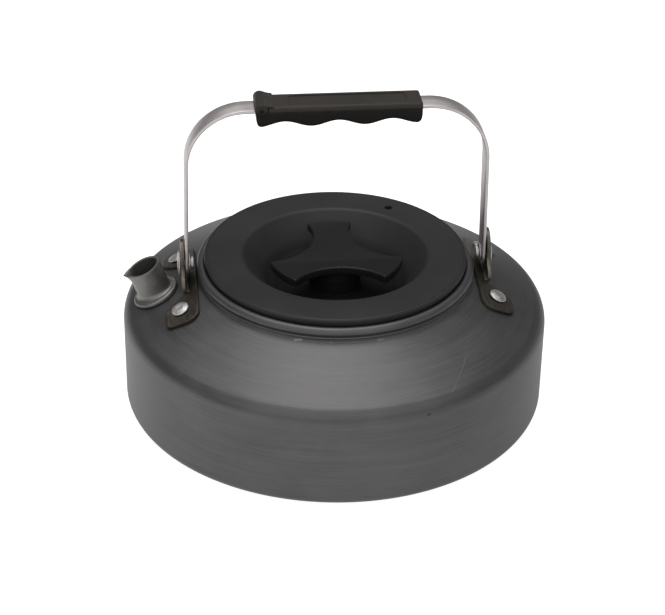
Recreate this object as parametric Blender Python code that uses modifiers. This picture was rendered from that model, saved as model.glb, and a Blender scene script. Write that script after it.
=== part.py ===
import math

import bmesh
import bpy
from mathutils import Matrix, Vector

# Driving sizes, in metres and degrees
CLEARANCE = 0.0003
CUT_REACH = 0.003
MERGE = 0.00001
ROUND_SEGMENTS = 60
SMALL_SEGMENTS = 16
TUBE_SEGMENTS = 28
CORNER_STEP = 22.5
SHARP_ANGLE = 35.0

# Spun aluminium vessel
BODY_RADIUS = 0.0915
BODY_WALL = 0.0012
BASE_FILLET = 0.0045
WALL_TOP = 0.0391
SHOULDER_FILLET = 0.0072
SHOULDER_SLOPE = 25.0
BEAD_RADIUS = 0.0022
BEAD_REACH = 0.0596
BEAD_LIFT = 0.0040
BEAD_UNDERCUT = 55.0
SEAM_DEPTH = 0.0011

# Pouring spout, on the -X side
SPOUT_GAP = 0.0014
SPOUT_LEAN = 21.0
SPOUT_RADIUS = 0.0073
SPOUT_WALL = 0.0010
SPOUT_LENGTH = 0.0148
SPOUT_CUT_TILT = 4.0
SPOUT_INSIDE = 0.0012
BEAK_REACH = 0.0024
BEAK_SPREAD = 40.0
BEAK_DEPTH = 0.0050
BEAK_SHARPNESS = 1.4
BEAK_STEPS = 4
COLLAR_RADIUS = 0.0102
COLLAR_HEIGHT = 0.0028
COLLAR_STEP = 0.0013
CRIMP_REACH = 0.0018

# Bail brackets on the shoulder
SHEET = 0.0014
BRACKET_GAP = 0.0002
BRACKET_WIDTH = 0.0138
BRACKET_END = 0.0093
BRACKET_TAPER = 0.0012
BRACKET_INNER_CORNER = 0.0042
BRACKET_OUTER_CORNER = 0.0024
BRACKET_LOBE = 0.0115
EAR_HALF = 0.0064
EAR_FOOT_HALF = 0.0120
EAR_FOOT_RISE = 0.0060
EAR_ABOVE_PIVOT = 0.0047
RIVET_SPACING = 0.0434
RIVET_SHANK = 0.0016
RIVET_HEAD = 0.0038
RIVET_HEAD_HEIGHT = 0.0015
RIVET_RIM = 0.0005
RIVET_TAIL = 0.0029
RIVET_TAIL_HEIGHT = 0.0010

# Bail: bent flat bar turning on two pivot rivets
PIVOT_RISE = 0.00875
PIVOT_SHANK = 0.0020
PIVOT_HEAD = 0.0053
PIVOT_HEAD_HEIGHT = 0.0012
PIVOT_RIM = 0.0006
PIVOT_TAIL = 0.0028
PIVOT_TAIL_HEIGHT = 0.0014
WASHER_THICKNESS = 0.0005
WASHER_RADIUS = 0.0040
STRIP_FROM_BEAD = 0.0043
STRIP_THICKNESS = 0.0015
STRIP_WIDTH = 0.0100
BAIL_RISE = 0.0720
STRIP_CORNER = 0.0250
STRIP_LEAN = 1.0

# Hand grip round the middle of the bail
GRIP_LENGTH = 0.0692
GRIP_WIDTH = 0.0140
GRIP_ABOVE_STRIP = 0.0028
GRIP_SEAM_RISE = 0.0006
GRIP_HOLLOW_DROP = 0.0047
GRIP_CREST_DROP = 0.0070
GRIP_PITCH = 0.0222
GRIP_EDGE = 0.0030
GRIP_COVER_EDGE = 0.0014
GRIP_END_ROUND = 0.0024  # lower corners at the two ends
GRIP_STEPS = 30
KNUCKLE_RADIUS = 0.0027
KNUCKLE_RISE = 0.0015  # above the bar's middle
KNUCKLE_WIDTH = 0.0148
RECESS_LENGTH = 0.0485
RECESS_WIDTH = 0.0085
RECESS_DEPTH = 0.0004
RECESS_CORNER = 0.0017
RECESS_SHIFT = 0.0040

# Lid with its bowl, seal and knob
LID_PROUD = 0.0030
LID_INSET = 0.0010
LID_WALL = 0.0020
LID_EDGE = 0.0012
LID_EDGE_ROUND = 0.0006
PLUG_DEPTH = 0.0085
PLUG_WALL = 0.0018
SEAL_HEIGHT = 0.0030
SEAL_GROOVE = 0.0014
SEAL_DROP = 0.0042
BOWL_RADIUS = 0.0413
BOWL_LIP = 0.0030
BOWL_DEPTH = 0.0160
BOWL_WALL_SLOPE = 50.0
BOWL_SWEEP = 0.0120
VENT_RADIUS = 0.0018
VENT_FROM_BOWL = 0.0062
VENT_ANGLE = 54.2
KNOB_FINGER_GAP = 0.0124
KNOB_ARMS = 3
KNOB_ARM_HALF_ANGLE = 19.6
KNOB_WAIST = 0.0125
KNOB_PLATE = 0.0036
KNOB_TOP_DROP = 0.0004
KNOB_UNDERCUT = 0.0014
KNOB_FIRST_ARM = 90.0
SCREW_SHANK = 0.0020
SCREW_LENGTH = 0.0100
SCREW_HEAD = 0.0038
SCREW_HEAD_HEIGHT = 0.0018
SCREW_EDGE = 0.0006
SCREW_SLOT_WIDTH = 0.0009
SCREW_SLOT_DEPTH = 0.0008
KNOB_WASHER_RADIUS = 0.0060
KNOB_WASHER_THICKNESS = 0.0008

# The vessel's outline, which the other pieces are placed on
SLOPE = math.radians(SHOULDER_SLOPE)
CORNER_X = BODY_RADIUS - SHOULDER_FILLET
CONE_START_X = CORNER_X + SHOULDER_FILLET * math.sin(SLOPE)
CONE_START_Z = WALL_TOP + SHOULDER_FILLET * math.cos(SLOPE)
BEAD_X = BEAD_REACH - BEAD_RADIUS
NECK_RADIUS = BEAD_X - BEAD_RADIUS


def shoulder_height(radius):
    """Height of the shoulder's outer face at a distance from the axis."""
    return CONE_START_Z + (CONE_START_X - radius) * math.tan(SLOPE)


# Places that follow from the vessel and the driving sizes
BEAD_Z = shoulder_height(BEAD_REACH) + BEAD_LIFT
STRIP_AT_PIVOT = BEAD_REACH + STRIP_FROM_BEAD
EAR_INNER = STRIP_AT_PIVOT + STRIP_THICKNESS / 2 + CLEARANCE
WASHER_OUTER = STRIP_AT_PIVOT - STRIP_THICKNESS / 2 - CLEARANCE
WASHER_INNER = WASHER_OUTER - WASHER_THICKNESS
EAR_OUTER = EAR_INNER + SHEET
SPOUT_FOOT_RADIUS = EAR_OUTER + SPOUT_GAP + COLLAR_RADIUS * math.cos(SLOPE)
BRACKET_INNER = BEAD_REACH + BRACKET_GAP
BRACKET_OUTER = BRACKET_INNER + BRACKET_WIDTH
BRACKET_HALF = RIVET_SPACING / 2 + BRACKET_END
RIVET_LINE = (BRACKET_INNER + BRACKET_OUTER) / 2
RIVET_FROM_AXIS = math.hypot(RIVET_LINE, RIVET_SPACING / 2)
RIVET_ANGLE = math.degrees(math.atan2(RIVET_SPACING / 2, RIVET_LINE))
PIVOT_HEIGHT = shoulder_height(STRIP_AT_PIVOT) + PIVOT_RISE
STRIP_TOP = PIVOT_HEIGHT + BAIL_RISE
GRIP_TOP = STRIP_TOP + GRIP_ABOVE_STRIP
GRIP_SEAM = STRIP_TOP + GRIP_SEAM_RISE
GRIP_HOLLOW = STRIP_TOP - GRIP_HOLLOW_DROP
GRIP_CREST = STRIP_TOP - GRIP_CREST_DROP
LID_TOP = BEAD_Z + BEAD_RADIUS + LID_PROUD
LID_RADIUS = BEAD_X - LID_INSET
SEAT_X = LID_RADIUS - LID_EDGE_ROUND
SEAT_Z = BEAD_Z + math.sqrt((BEAD_RADIUS + CLEARANCE) ** 2 - (BEAD_X - SEAT_X) ** 2)
PLUG_RADIUS = NECK_RADIUS - 3 * CLEARANCE
PLUG_BOTTOM = SEAT_Z - PLUG_DEPTH
BOWL_FLOOR = LID_TOP - BOWL_DEPTH
KNOB_ARM = BOWL_RADIUS - KNOB_FINGER_GAP
KNOB_STEM = KNOB_WAIST - KNOB_UNDERCUT


def clear_scene():
    for item in list(bpy.data.objects):
        bpy.data.objects.remove(item, do_unlink=True)


def new_collection(name):
    collection = bpy.data.collections.new(name)
    bpy.context.scene.collection.children.link(collection)
    return collection


clear_scene()
PARTS = new_collection("coffee_kettle")
CUTTERS = new_collection("cutters")
CUTTERS.hide_render = True


def make_material(name, colour, roughness, metallic):
    material = bpy.data.materials.new(name)
    material.use_nodes = True
    shader = material.node_tree.nodes["Principled BSDF"]
    shader.inputs["Base Color"].default_value = (*colour, 1.0)
    shader.inputs["Roughness"].default_value = roughness
    shader.inputs["Metallic"].default_value = metallic
    return material


ANODISED = make_material("anodised_aluminium", (0.105, 0.103, 0.103), 0.50, 0.85)
SPOUT_METAL = make_material("spout_aluminium", (0.120, 0.120, 0.112), 0.45, 0.85)
DARK_SHEET = make_material("dark_steel_sheet", (0.095, 0.085, 0.075), 0.38, 0.90)
BRIGHT_STEEL = make_material("bright_steel", (0.560, 0.545, 0.530), 0.25, 1.0)
RIVET_METAL = make_material("rivet_aluminium", (0.620, 0.610, 0.600), 0.32, 1.0)
GRIP_PLASTIC = make_material("grip_plastic", (0.030, 0.029, 0.029), 0.40, 0.0)
LID_PLASTIC = make_material("lid_plastic", (0.032, 0.031, 0.031), 0.48, 0.0)
KNOB_PLASTIC = make_material("knob_plastic", (0.026, 0.026, 0.026), 0.35, 0.0)
SEAL_RUBBER = make_material("seal_rubber", (0.012, 0.012, 0.012), 0.60, 0.0)


def arc_points(centre_x, centre_z, radius, start, end, steps):
    """Points along an arc, by angles in degrees from the first axis."""
    points = []
    for step in range(steps + 1):
        angle = math.radians(start + (end - start) * step / steps)
        points.append((centre_x + radius * math.cos(angle), centre_z + radius * math.sin(angle)))
    return points


def finish_object(name, mesh, material, collection):
    body = bpy.data.objects.new(name, mesh)
    collection.objects.link(body)
    if collection is CUTTERS:
        body.hide_render = True
        body.display_type = "WIRE"
    if material is not None:
        mesh.materials.append(material)
    return body


def turned(name, profile, segments, material=None, collection=PARTS, closed=False):
    """Turn a profile of (radius, height) points round Z with a Screw modifier."""
    mesh = bpy.data.meshes.new(name)
    shape = bmesh.new()
    corners = [shape.verts.new((radius, 0.0, height)) for radius, height in profile]
    pairs = list(zip(corners, corners[1:]))
    if closed:
        pairs.append((corners[-1], corners[0]))
    for first, second in pairs:
        shape.edges.new((first, second))
    shape.to_mesh(mesh)
    shape.free()
    body = finish_object(name, mesh, material, collection)
    screw = body.modifiers.new("turn", "SCREW")
    screw.axis = "Z"
    screw.angle = math.tau
    screw.steps = segments
    screw.render_steps = segments
    screw.use_merge_vertices = True
    screw.merge_threshold = MERGE
    screw.use_smooth_shade = True
    return body


def baked_mesh(body):
    """The evaluated mesh of an object, as new mesh data."""
    bpy.context.view_layer.update()
    graph = bpy.context.evaluated_depsgraph_get()
    return bpy.data.meshes.new_from_object(body.evaluated_get(graph))


def prism(name, outline, thickness, material=None, collection=PARTS):
    """Extrude a flat outline in XY evenly to both sides of its plane."""
    curve = bpy.data.curves.new(name, "CURVE")
    curve.dimensions = "2D"
    curve.fill_mode = "BOTH"
    curve.extrude = thickness / 2
    spline = curve.splines.new("POLY")
    spline.points.add(len(outline) - 1)
    for point, (x, y) in zip(spline.points, outline):
        point.co = (x, y, 0.0, 1.0)
    spline.use_cyclic_u = True
    guide = bpy.data.objects.new(name + "_outline", curve)
    bpy.context.scene.collection.objects.link(guide)
    mesh = baked_mesh(guide)
    bpy.data.objects.remove(guide)
    bpy.data.curves.remove(curve)
    shape = bmesh.new()
    shape.from_mesh(mesh)
    bmesh.ops.remove_doubles(shape, verts=shape.verts, dist=MERGE)
    bmesh.ops.recalc_face_normals(shape, faces=shape.faces)
    shape.to_mesh(mesh)
    shape.free()
    mesh.name = name
    return finish_object(name, mesh, material, collection)


def rounded_outline(corners):
    """Round each (x, y, radius) corner of an outline with a short arc."""
    outline = []
    count = len(corners)
    for index, (x, y, radius) in enumerate(corners):
        corner = Vector((x, y))
        if radius <= 0.0:
            outline.append((x, y))
            continue
        before = (Vector(corners[index - 1][:2]) - corner).normalized()
        after = (Vector(corners[(index + 1) % count][:2]) - corner).normalized()
        half_angle = before.angle(after) / 2
        centre = corner + (before + after).normalized() * radius / math.sin(half_angle)
        start = corner + before * radius / math.tan(half_angle) - centre
        end = corner + after * radius / math.tan(half_angle) - centre
        sweep = start.angle_signed(end)
        steps = max(2, round(abs(math.degrees(sweep)) / CORNER_STEP))
        for step in range(steps + 1):
            turn = Matrix.Rotation(-sweep * step / steps, 2)
            outline.append(tuple(centre + turn @ start))
    return outline


def combine(body, other, operation):
    boolean = body.modifiers.new(operation.lower(), "BOOLEAN")
    boolean.operation = operation
    boolean.solver = "EXACT"
    boolean.object = other


def shade_round(body):
    body.data.shade_smooth()
    body.data.set_sharp_from_angle(angle=math.radians(SHARP_ANGLE))


def settle(body):
    """Replace an object's modifiers by the mesh that they make."""
    material = body.data.materials[0]
    mesh = baked_mesh(body)
    body.modifiers.clear()
    body.data = mesh
    mesh.materials.clear()
    mesh.materials.append(material)
    shade_round(body)


def on_shoulder(radius, azimuth):
    """Frame on the shoulder's outer face, with Z along its normal and X down the slope."""
    turn = Matrix.Rotation(math.radians(azimuth), 4, "Z")
    place = Matrix.Translation((radius, 0.0, shoulder_height(radius)))
    return turn @ place @ Matrix.Rotation(SLOPE, 4, "Y")


def rivet_places():
    """The names and azimuths of the four bracket rivets."""
    return {
        "left_front_rivet": 180.0 + RIVET_ANGLE,
        "left_rear_rivet": 180.0 - RIVET_ANGLE,
        "right_front_rivet": -RIVET_ANGLE,
        "right_rear_rivet": RIVET_ANGLE,
    }


def shoulder_drill(name, radius, azimuth):
    """A cutter through the shoulder at a rivet."""
    reach = BODY_WALL + SHEET + CUT_REACH
    profile = [(0.0, reach), (radius, reach), (radius, -reach), (0.0, -reach)]
    drill = turned(name, profile, SMALL_SEGMENTS, collection=CUTTERS)
    drill.matrix_world = on_shoulder(RIVET_FROM_AXIS, azimuth)
    return drill


def spout_frame():
    """Frame at the spout's foot on the shoulder, with Z along the leaning tube."""
    foot = Vector((SPOUT_FOOT_RADIUS, 0.0, shoulder_height(SPOUT_FOOT_RADIUS)))
    lean = Matrix.Rotation(math.radians(SPOUT_LEAN), 4, "Y")
    return Matrix.Rotation(math.pi, 4, "Z") @ Matrix.Translation(foot) @ lean


def make_kettle_body():
    inner_corner = SHOULDER_FILLET - BODY_WALL
    inner_base = BASE_FILLET - BODY_WALL
    rise = BODY_WALL / math.cos(SLOPE)
    neck_z = shoulder_height(NECK_RADIUS) - rise
    seam_x = BEAD_REACH - SEAM_DEPTH
    profile = [(0.0, BODY_WALL)]
    profile += arc_points(BODY_RADIUS - BASE_FILLET, BASE_FILLET, inner_base, -90, 0, 2)
    profile += arc_points(CORNER_X, WALL_TOP, inner_corner, 0, 90 - SHOULDER_SLOPE, 2)
    profile.append((NECK_RADIUS, neck_z))
    profile += arc_points(BEAD_X, BEAD_Z, BEAD_RADIUS, 180, -BEAD_UNDERCUT, 8)
    profile.append((seam_x, shoulder_height(seam_x)))
    profile += arc_points(CORNER_X, WALL_TOP, SHOULDER_FILLET, 90 - SHOULDER_SLOPE, 0, 4)
    profile += arc_points(BODY_RADIUS - BASE_FILLET, BASE_FILLET, BASE_FILLET, 0, -90, 4)
    profile.append((0.0, 0.0))
    body = turned("kettle_body", profile, ROUND_SEGMENTS, ANODISED)
    reach = BODY_WALL + CUT_REACH
    bore = SPOUT_RADIUS + CLEARANCE
    bore_profile = [(0.0, reach), (bore, reach), (bore, -reach), (0.0, -reach)]
    drill = turned("spout_hole", bore_profile, TUBE_SEGMENTS, collection=CUTTERS)
    drill.matrix_world = spout_frame()
    combine(body, drill, "DIFFERENCE")
    for name, azimuth in rivet_places().items():
        combine(body, shoulder_drill(name + "_body_hole", RIVET_SHANK + CLEARANCE, azimuth), "DIFFERENCE")
    settle(body)


def beak_radius(base, angle, amount):
    """Tube radius at an angle from the pouring side, drawn out to a beak."""
    share = max(0.0, 1.0 - abs(angle) / math.radians(BEAK_SPREAD))
    return base + BEAK_REACH * amount * share ** BEAK_SHARPNESS


def spout_ring(radius, height, tilt, beak):
    """One ring of the spout's tube in the spout's own frame."""
    ring = []
    for index in range(TUBE_SEGMENTS):
        angle = math.tau * index / TUBE_SEGMENTS
        offset = math.atan2(math.sin(angle), math.cos(angle))
        reach = beak_radius(radius, offset, beak)
        x = reach * math.cos(angle)
        ring.append(Vector((x, reach * math.sin(angle), height - x * math.tan(math.radians(tilt)))))
    return ring


def make_spout():
    """Loft the tube with its beak, then join the collar and the crimped inner rim."""
    bore = SPOUT_RADIUS - SPOUT_WALL
    bottom = -(BODY_WALL + SPOUT_INSIDE) / math.cos(SLOPE) - CRIMP_REACH / 2
    levels = [bottom, 0.0, SPOUT_LENGTH - BEAK_DEPTH]
    levels += [SPOUT_LENGTH - BEAK_DEPTH * (1 - step / BEAK_STEPS) for step in range(1, BEAK_STEPS + 1)]

    def shaped_ring(radius, level):
        share = max(0.0, (level - SPOUT_LENGTH + BEAK_DEPTH) / BEAK_DEPTH)
        return spout_ring(radius, level, SPOUT_CUT_TILT * share, share ** 2)

    rings = [shaped_ring(SPOUT_RADIUS, level) for level in levels]
    rings += [shaped_ring(bore, level) for level in reversed(levels)]
    shape = bmesh.new()
    corners = [[shape.verts.new(point) for point in ring] for ring in rings]
    for lower, upper in zip(corners, corners[1:] + corners[:1]):
        for index in range(TUBE_SEGMENTS):
            after = (index + 1) % TUBE_SEGMENTS
            shape.faces.new((lower[index], lower[after], upper[after], upper[index]))
    bmesh.ops.recalc_face_normals(shape, faces=shape.faces)
    mesh = bpy.data.meshes.new("spout")
    shape.to_mesh(mesh)
    shape.free()
    spout = finish_object("spout", mesh, SPOUT_METAL, PARTS)
    spout.matrix_world = spout_frame()
    hollow = SPOUT_RADIUS - SPOUT_WALL / 2
    collar_profile = [(hollow, COLLAR_HEIGHT)]
    round_x = COLLAR_RADIUS - COLLAR_STEP
    collar_profile += arc_points(round_x, COLLAR_HEIGHT - COLLAR_STEP, COLLAR_STEP, 90, 0, 3)
    collar_profile += [(COLLAR_RADIUS, CLEARANCE), (hollow, CLEARANCE)]
    collar = turned("spout_collar", collar_profile, TUBE_SEGMENTS, collection=CUTTERS, closed=True)
    collar.matrix_world = on_shoulder(SPOUT_FOOT_RADIUS, 180.0)
    combine(spout, collar, "UNION")
    crimp_top = -BODY_WALL - CLEARANCE
    crimp_low = crimp_top - SPOUT_INSIDE
    crimp_x = SPOUT_RADIUS + CRIMP_REACH
    crimp_profile = [(hollow, crimp_top), (crimp_x, crimp_top), (crimp_x, crimp_low), (hollow, crimp_low)]
    crimp = turned("spout_crimp", crimp_profile, TUBE_SEGMENTS, collection=CUTTERS, closed=True)
    crimp.matrix_world = on_shoulder(SPOUT_FOOT_RADIUS, 180.0)
    combine(spout, crimp, "UNION")
    settle(spout)


def make_bracket(name, azimuth):
    """A curved foot cut from a turned sheet, joined to a flat upright ear."""
    rise = 1 / math.cos(SLOPE)
    low = CLEARANCE * rise
    high = (CLEARANCE + SHEET) * rise
    inside = BRACKET_INNER - CUT_REACH / 2
    outside = math.hypot(BRACKET_OUTER, BRACKET_HALF) + CUT_REACH
    sheet_profile = [
        (inside, shoulder_height(inside) + high),
        (outside, shoulder_height(outside) + high),
        (outside, shoulder_height(outside) + low),
        (inside, shoulder_height(inside) + low),
    ]
    bracket = turned(name, sheet_profile, ROUND_SEGMENTS, DARK_SHEET, closed=True)
    lobe_start = BRACKET_HALF - BRACKET_LOBE
    half = [
        (EAR_OUTER, EAR_FOOT_HALF + CLEARANCE, 0.0),
        (BRACKET_OUTER, lobe_start, BRACKET_OUTER_CORNER),
        (BRACKET_OUTER, BRACKET_HALF - BRACKET_TAPER, BRACKET_OUTER_CORNER),
        (BRACKET_INNER, BRACKET_HALF, BRACKET_INNER_CORNER),
    ]
    corners = half + [(x, -y, radius) for x, y, radius in reversed(half)]
    span = 2 * shoulder_height(BRACKET_INNER)
    foot = prism(name + "_foot", rounded_outline(corners), span, collection=CUTTERS)
    turn = Matrix.Rotation(math.radians(azimuth), 4, "Z")
    foot.matrix_world = turn @ Matrix.Translation((0.0, 0.0, span / 2))
    combine(bracket, foot, "INTERSECT")
    ear_foot = WALL_TOP
    ear_top = PIVOT_HEIGHT + EAR_ABOVE_PIVOT
    bend_z = shoulder_height(EAR_INNER) + high + CLEARANCE
    outline = [(-EAR_FOOT_HALF, ear_foot), (EAR_FOOT_HALF, ear_foot), (EAR_FOOT_HALF, bend_z)]
    outline.append((EAR_HALF, bend_z + EAR_FOOT_RISE))
    outline += arc_points(0.0, ear_top, EAR_HALF, 0, 180, 10)
    outline += [(-EAR_HALF, bend_z + EAR_FOOT_RISE), (-EAR_FOOT_HALF, bend_z)]
    ear = prism(name + "_ear", outline, SHEET, collection=CUTTERS)
    upright = Matrix.Rotation(math.pi / 2, 4, "Z") @ Matrix.Rotation(math.pi / 2, 4, "X")
    ear.matrix_world = turn @ Matrix.Translation(((EAR_INNER + EAR_OUTER) / 2, 0.0, 0.0)) @ upright
    middle = (low + high) / 2
    block_profile = [(0.0, shoulder_height(0.0) + middle), (BODY_RADIUS, shoulder_height(BODY_RADIUS) + middle)]
    block_profile += [(BODY_RADIUS, 0.0), (0.0, 0.0)]
    block = turned(name + "_trim", block_profile, ROUND_SEGMENTS, collection=CUTTERS)
    combine(ear, block, "DIFFERENCE")
    combine(bracket, ear, "UNION")
    for rivet, place in rivet_places().items():
        if math.cos(math.radians(place - azimuth)) > 0:
            drill = shoulder_drill(f"{rivet}_bracket_hole", RIVET_SHANK + CLEARANCE, place)
            combine(bracket, drill, "DIFFERENCE")
    combine(bracket, pivot_drill(name + "_pivot_hole", azimuth), "DIFFERENCE")
    settle(bracket)


def pivot_frame(azimuth):
    """Frame on the pivot axis, with Z pointing outward along it."""
    turn = Matrix.Rotation(math.radians(azimuth), 4, "Z")
    return turn @ Matrix.Translation((0.0, 0.0, PIVOT_HEIGHT)) @ Matrix.Rotation(math.pi / 2, 4, "Y")


def pivot_drill(name, azimuth):
    bore = PIVOT_SHANK + CLEARANCE
    start = STRIP_AT_PIVOT - CUT_REACH
    end = EAR_OUTER + CUT_REACH
    profile = [(0.0, end), (bore, end), (bore, start), (0.0, start)]
    drill = turned(name, profile, SMALL_SEGMENTS, collection=CUTTERS)
    drill.matrix_world = pivot_frame(azimuth)
    return drill


def dome_points(radius, rim, rise):
    """A low dome from its middle out to its rim."""
    ball = (radius ** 2 + rise ** 2) / (2 * rise)
    reach = math.degrees(math.asin(radius / ball))
    return arc_points(0.0, rim + rise - ball, ball, 90, 90 - reach, 3)


def make_bracket_rivet(name, azimuth):
    under_head = CLEARANCE + SHEET + CLEARANCE
    under_tail = -BODY_WALL - CLEARANCE
    profile = dome_points(RIVET_HEAD, under_head + RIVET_RIM, RIVET_HEAD_HEIGHT - RIVET_RIM)
    profile += [(RIVET_HEAD, under_head), (RIVET_SHANK, under_head), (RIVET_SHANK, under_tail)]
    profile += [(RIVET_TAIL, under_tail), (RIVET_TAIL, under_tail - RIVET_TAIL_HEIGHT)]
    profile.append((0.0, under_tail - RIVET_TAIL_HEIGHT))
    rivet = turned(name, profile, SMALL_SEGMENTS, RIVET_METAL)
    rivet.matrix_world = on_shoulder(RIVET_FROM_AXIS, azimuth)
    settle(rivet)


def make_pivot_rivet(name, azimuth):
    under_head = EAR_OUTER + CLEARANCE
    under_tail = WASHER_INNER - CLEARANCE
    end = under_tail - PIVOT_TAIL_HEIGHT
    profile = dome_points(PIVOT_HEAD, under_head + PIVOT_RIM, PIVOT_HEAD_HEIGHT - PIVOT_RIM)
    profile += [(PIVOT_HEAD, under_head), (PIVOT_SHANK, under_head), (PIVOT_SHANK, under_tail)]
    profile += [(PIVOT_TAIL, under_tail), (PIVOT_TAIL, end + PIVOT_RIM)]
    profile += [(PIVOT_TAIL - PIVOT_RIM, end), (0.0, end)]
    rivet = turned(name, profile, SMALL_SEGMENTS, RIVET_METAL)
    rivet.matrix_world = pivot_frame(azimuth)
    settle(rivet)


def make_pivot_washer(name, azimuth):
    bore = PIVOT_SHANK + CLEARANCE
    profile = [(bore, WASHER_OUTER), (WASHER_RADIUS, WASHER_OUTER)]
    profile += [(WASHER_RADIUS, WASHER_INNER), (bore, WASHER_INNER)]
    washer = turned(name, profile, SMALL_SEGMENTS, BRIGHT_STEEL, closed=True)
    washer.matrix_world = pivot_frame(azimuth)
    settle(washer)


def strip_side(offset):
    """Right half of one face of the bent bar, from the lower end up to the middle."""
    lean = math.radians(STRIP_LEAN)
    corner_z = STRIP_TOP - STRIP_CORNER
    bend_top = corner_z + STRIP_CORNER * math.sin(lean)
    bend_x = STRIP_AT_PIVOT - (bend_top - PIVOT_HEIGHT) * math.tan(lean)
    corner_x = bend_x - STRIP_CORNER * math.cos(lean)
    end_z = PIVOT_HEIGHT - STRIP_WIDTH
    end_x = STRIP_AT_PIVOT + STRIP_WIDTH * math.tan(lean)
    points = [(end_x + offset * math.cos(lean), end_z + offset * math.sin(lean))]
    points += arc_points(corner_x, corner_z, STRIP_CORNER + offset, STRIP_LEAN, 90, 10)
    return points


def make_bail_strip():
    half = STRIP_THICKNESS / 2
    outer = strip_side(half)
    inner = strip_side(-half)
    outline = outer + [(-x, z) for x, z in reversed(outer)]
    outline += [(-x, z) for x, z in inner] + list(reversed(inner))
    strip = prism("bail_strip", outline, STRIP_WIDTH + CUT_REACH, BRIGHT_STEEL)
    strip.matrix_world = Matrix.Rotation(math.pi / 2, 4, "X")
    radius = STRIP_WIDTH / 2
    top = STRIP_TOP + STRIP_WIDTH
    flat = arc_points(0.0, PIVOT_HEIGHT, radius, 180, 360, 12) + [(radius, top), (-radius, top)]
    width = prism("strip_width", flat, 4 * STRIP_AT_PIVOT, collection=CUTTERS)
    width.matrix_world = Matrix.Rotation(math.pi / 2, 4, "Z") @ Matrix.Rotation(math.pi / 2, 4, "X")
    combine(strip, width, "INTERSECT")
    for side, azimuth in (("right", 0.0), ("left", 180.0)):
        combine(strip, pivot_drill(f"{side}_strip_hole", azimuth), "DIFFERENCE")
    settle(strip)


def strip_channel(name):
    """Cutter for the passage of the bar through the grip."""
    wide = STRIP_WIDTH / 2 + CLEARANCE
    high = STRIP_THICKNESS / 2 + CLEARANCE
    outline = [(-wide, -high), (wide, -high), (wide, high), (-wide, high)]
    channel = prism(name, outline, GRIP_LENGTH + 4 * CUT_REACH, collection=CUTTERS)
    along = Matrix.Rotation(math.pi / 2, 4, "Z") @ Matrix.Rotation(math.pi / 2, 4, "X")
    channel.matrix_world = Matrix.Translation((0.0, 0.0, STRIP_TOP)) @ along
    return channel


def grip_section(name, low, high, low_round, high_round):
    """Cross-section prism along X that rounds the grip's long edges."""
    half = GRIP_WIDTH / 2
    corners = [(-half, low, low_round), (half, low, low_round)]
    corners += [(half, high, high_round), (-half, high, high_round)]
    section = prism(name, rounded_outline(corners), GRIP_LENGTH + 4 * CUT_REACH, collection=CUTTERS)
    section.matrix_world = Matrix.Rotation(math.pi / 2, 4, "Z") @ Matrix.Rotation(math.pi / 2, 4, "X")
    return section


def make_grip_base():
    half = GRIP_LENGTH / 2
    middle = (GRIP_HOLLOW + GRIP_CREST) / 2
    swing = (GRIP_HOLLOW - GRIP_CREST) / 2
    reach = half - GRIP_END_ROUND
    heights = []
    for step in range(GRIP_STEPS + 1):
        x = reach * (2 * step / GRIP_STEPS - 1)
        heights.append((x, middle + swing * math.cos(math.tau * x / GRIP_PITCH)))
    round_z = heights[0][1] + GRIP_END_ROUND
    outline = [(-half, GRIP_SEAM)]
    outline += arc_points(-reach, round_z, GRIP_END_ROUND, 180, 270, 4)
    outline += heights[1:-1]
    outline += arc_points(reach, round_z, GRIP_END_ROUND, 270, 360, 4)
    outline.append((half, GRIP_SEAM))
    base = prism("grip_base", outline, GRIP_WIDTH + CUT_REACH, GRIP_PLASTIC)
    base.matrix_world = Matrix.Rotation(math.pi / 2, 4, "X")
    section = grip_section("grip_base_section", GRIP_CREST, GRIP_TOP, GRIP_EDGE, 0.0)
    combine(base, section, "INTERSECT")
    knuckle_x = -half + KNUCKLE_RADIUS
    knuckle_half = KNUCKLE_WIDTH / 2
    profile = [(0.0, knuckle_half), (KNUCKLE_RADIUS, knuckle_half)]
    profile += [(KNUCKLE_RADIUS, -knuckle_half), (0.0, -knuckle_half)]
    knuckle = turned("grip_knuckle", profile, SMALL_SEGMENTS, collection=CUTTERS)
    lying = Matrix.Rotation(math.pi / 2, 4, "X")
    knuckle.matrix_world = Matrix.Translation((knuckle_x, 0.0, STRIP_TOP + KNUCKLE_RISE)) @ lying
    combine(base, knuckle, "UNION")
    combine(base, strip_channel("grip_base_channel"), "DIFFERENCE")
    settle(base)


def make_grip_cover():
    low = GRIP_SEAM + CLEARANCE
    start = -GRIP_LENGTH / 2 + 2 * KNUCKLE_RADIUS + CLEARANCE
    length = GRIP_LENGTH / 2 - start
    half = GRIP_WIDTH / 2
    top_corners = [(half, GRIP_TOP, GRIP_COVER_EDGE), (-half, GRIP_TOP, GRIP_COVER_EDGE)]
    corners = [(-half, low, 0.0), (half, low, 0.0)] + top_corners
    cover = prism("grip_cover", rounded_outline(corners), length, GRIP_PLASTIC)
    along = Matrix.Rotation(math.pi / 2, 4, "Z") @ Matrix.Rotation(math.pi / 2, 4, "X")
    cover.matrix_world = Matrix.Translation((start + length / 2, 0.0, 0.0)) @ along
    combine(cover, strip_channel("grip_cover_channel"), "DIFFERENCE")
    reach = RECESS_LENGTH / 2
    wide = RECESS_WIDTH / 2
    ends = [(-reach, -wide), (reach, -wide), (reach, wide), (-reach, wide)]
    slot = [(x, y, RECESS_CORNER) for x, y in ends]
    recess = prism("grip_recess", rounded_outline(slot), 2 * RECESS_DEPTH, collection=CUTTERS)
    recess.matrix_world = Matrix.Translation((RECESS_SHIFT, 0.0, GRIP_TOP))
    combine(cover, recess, "DIFFERENCE")
    settle(cover)


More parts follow.
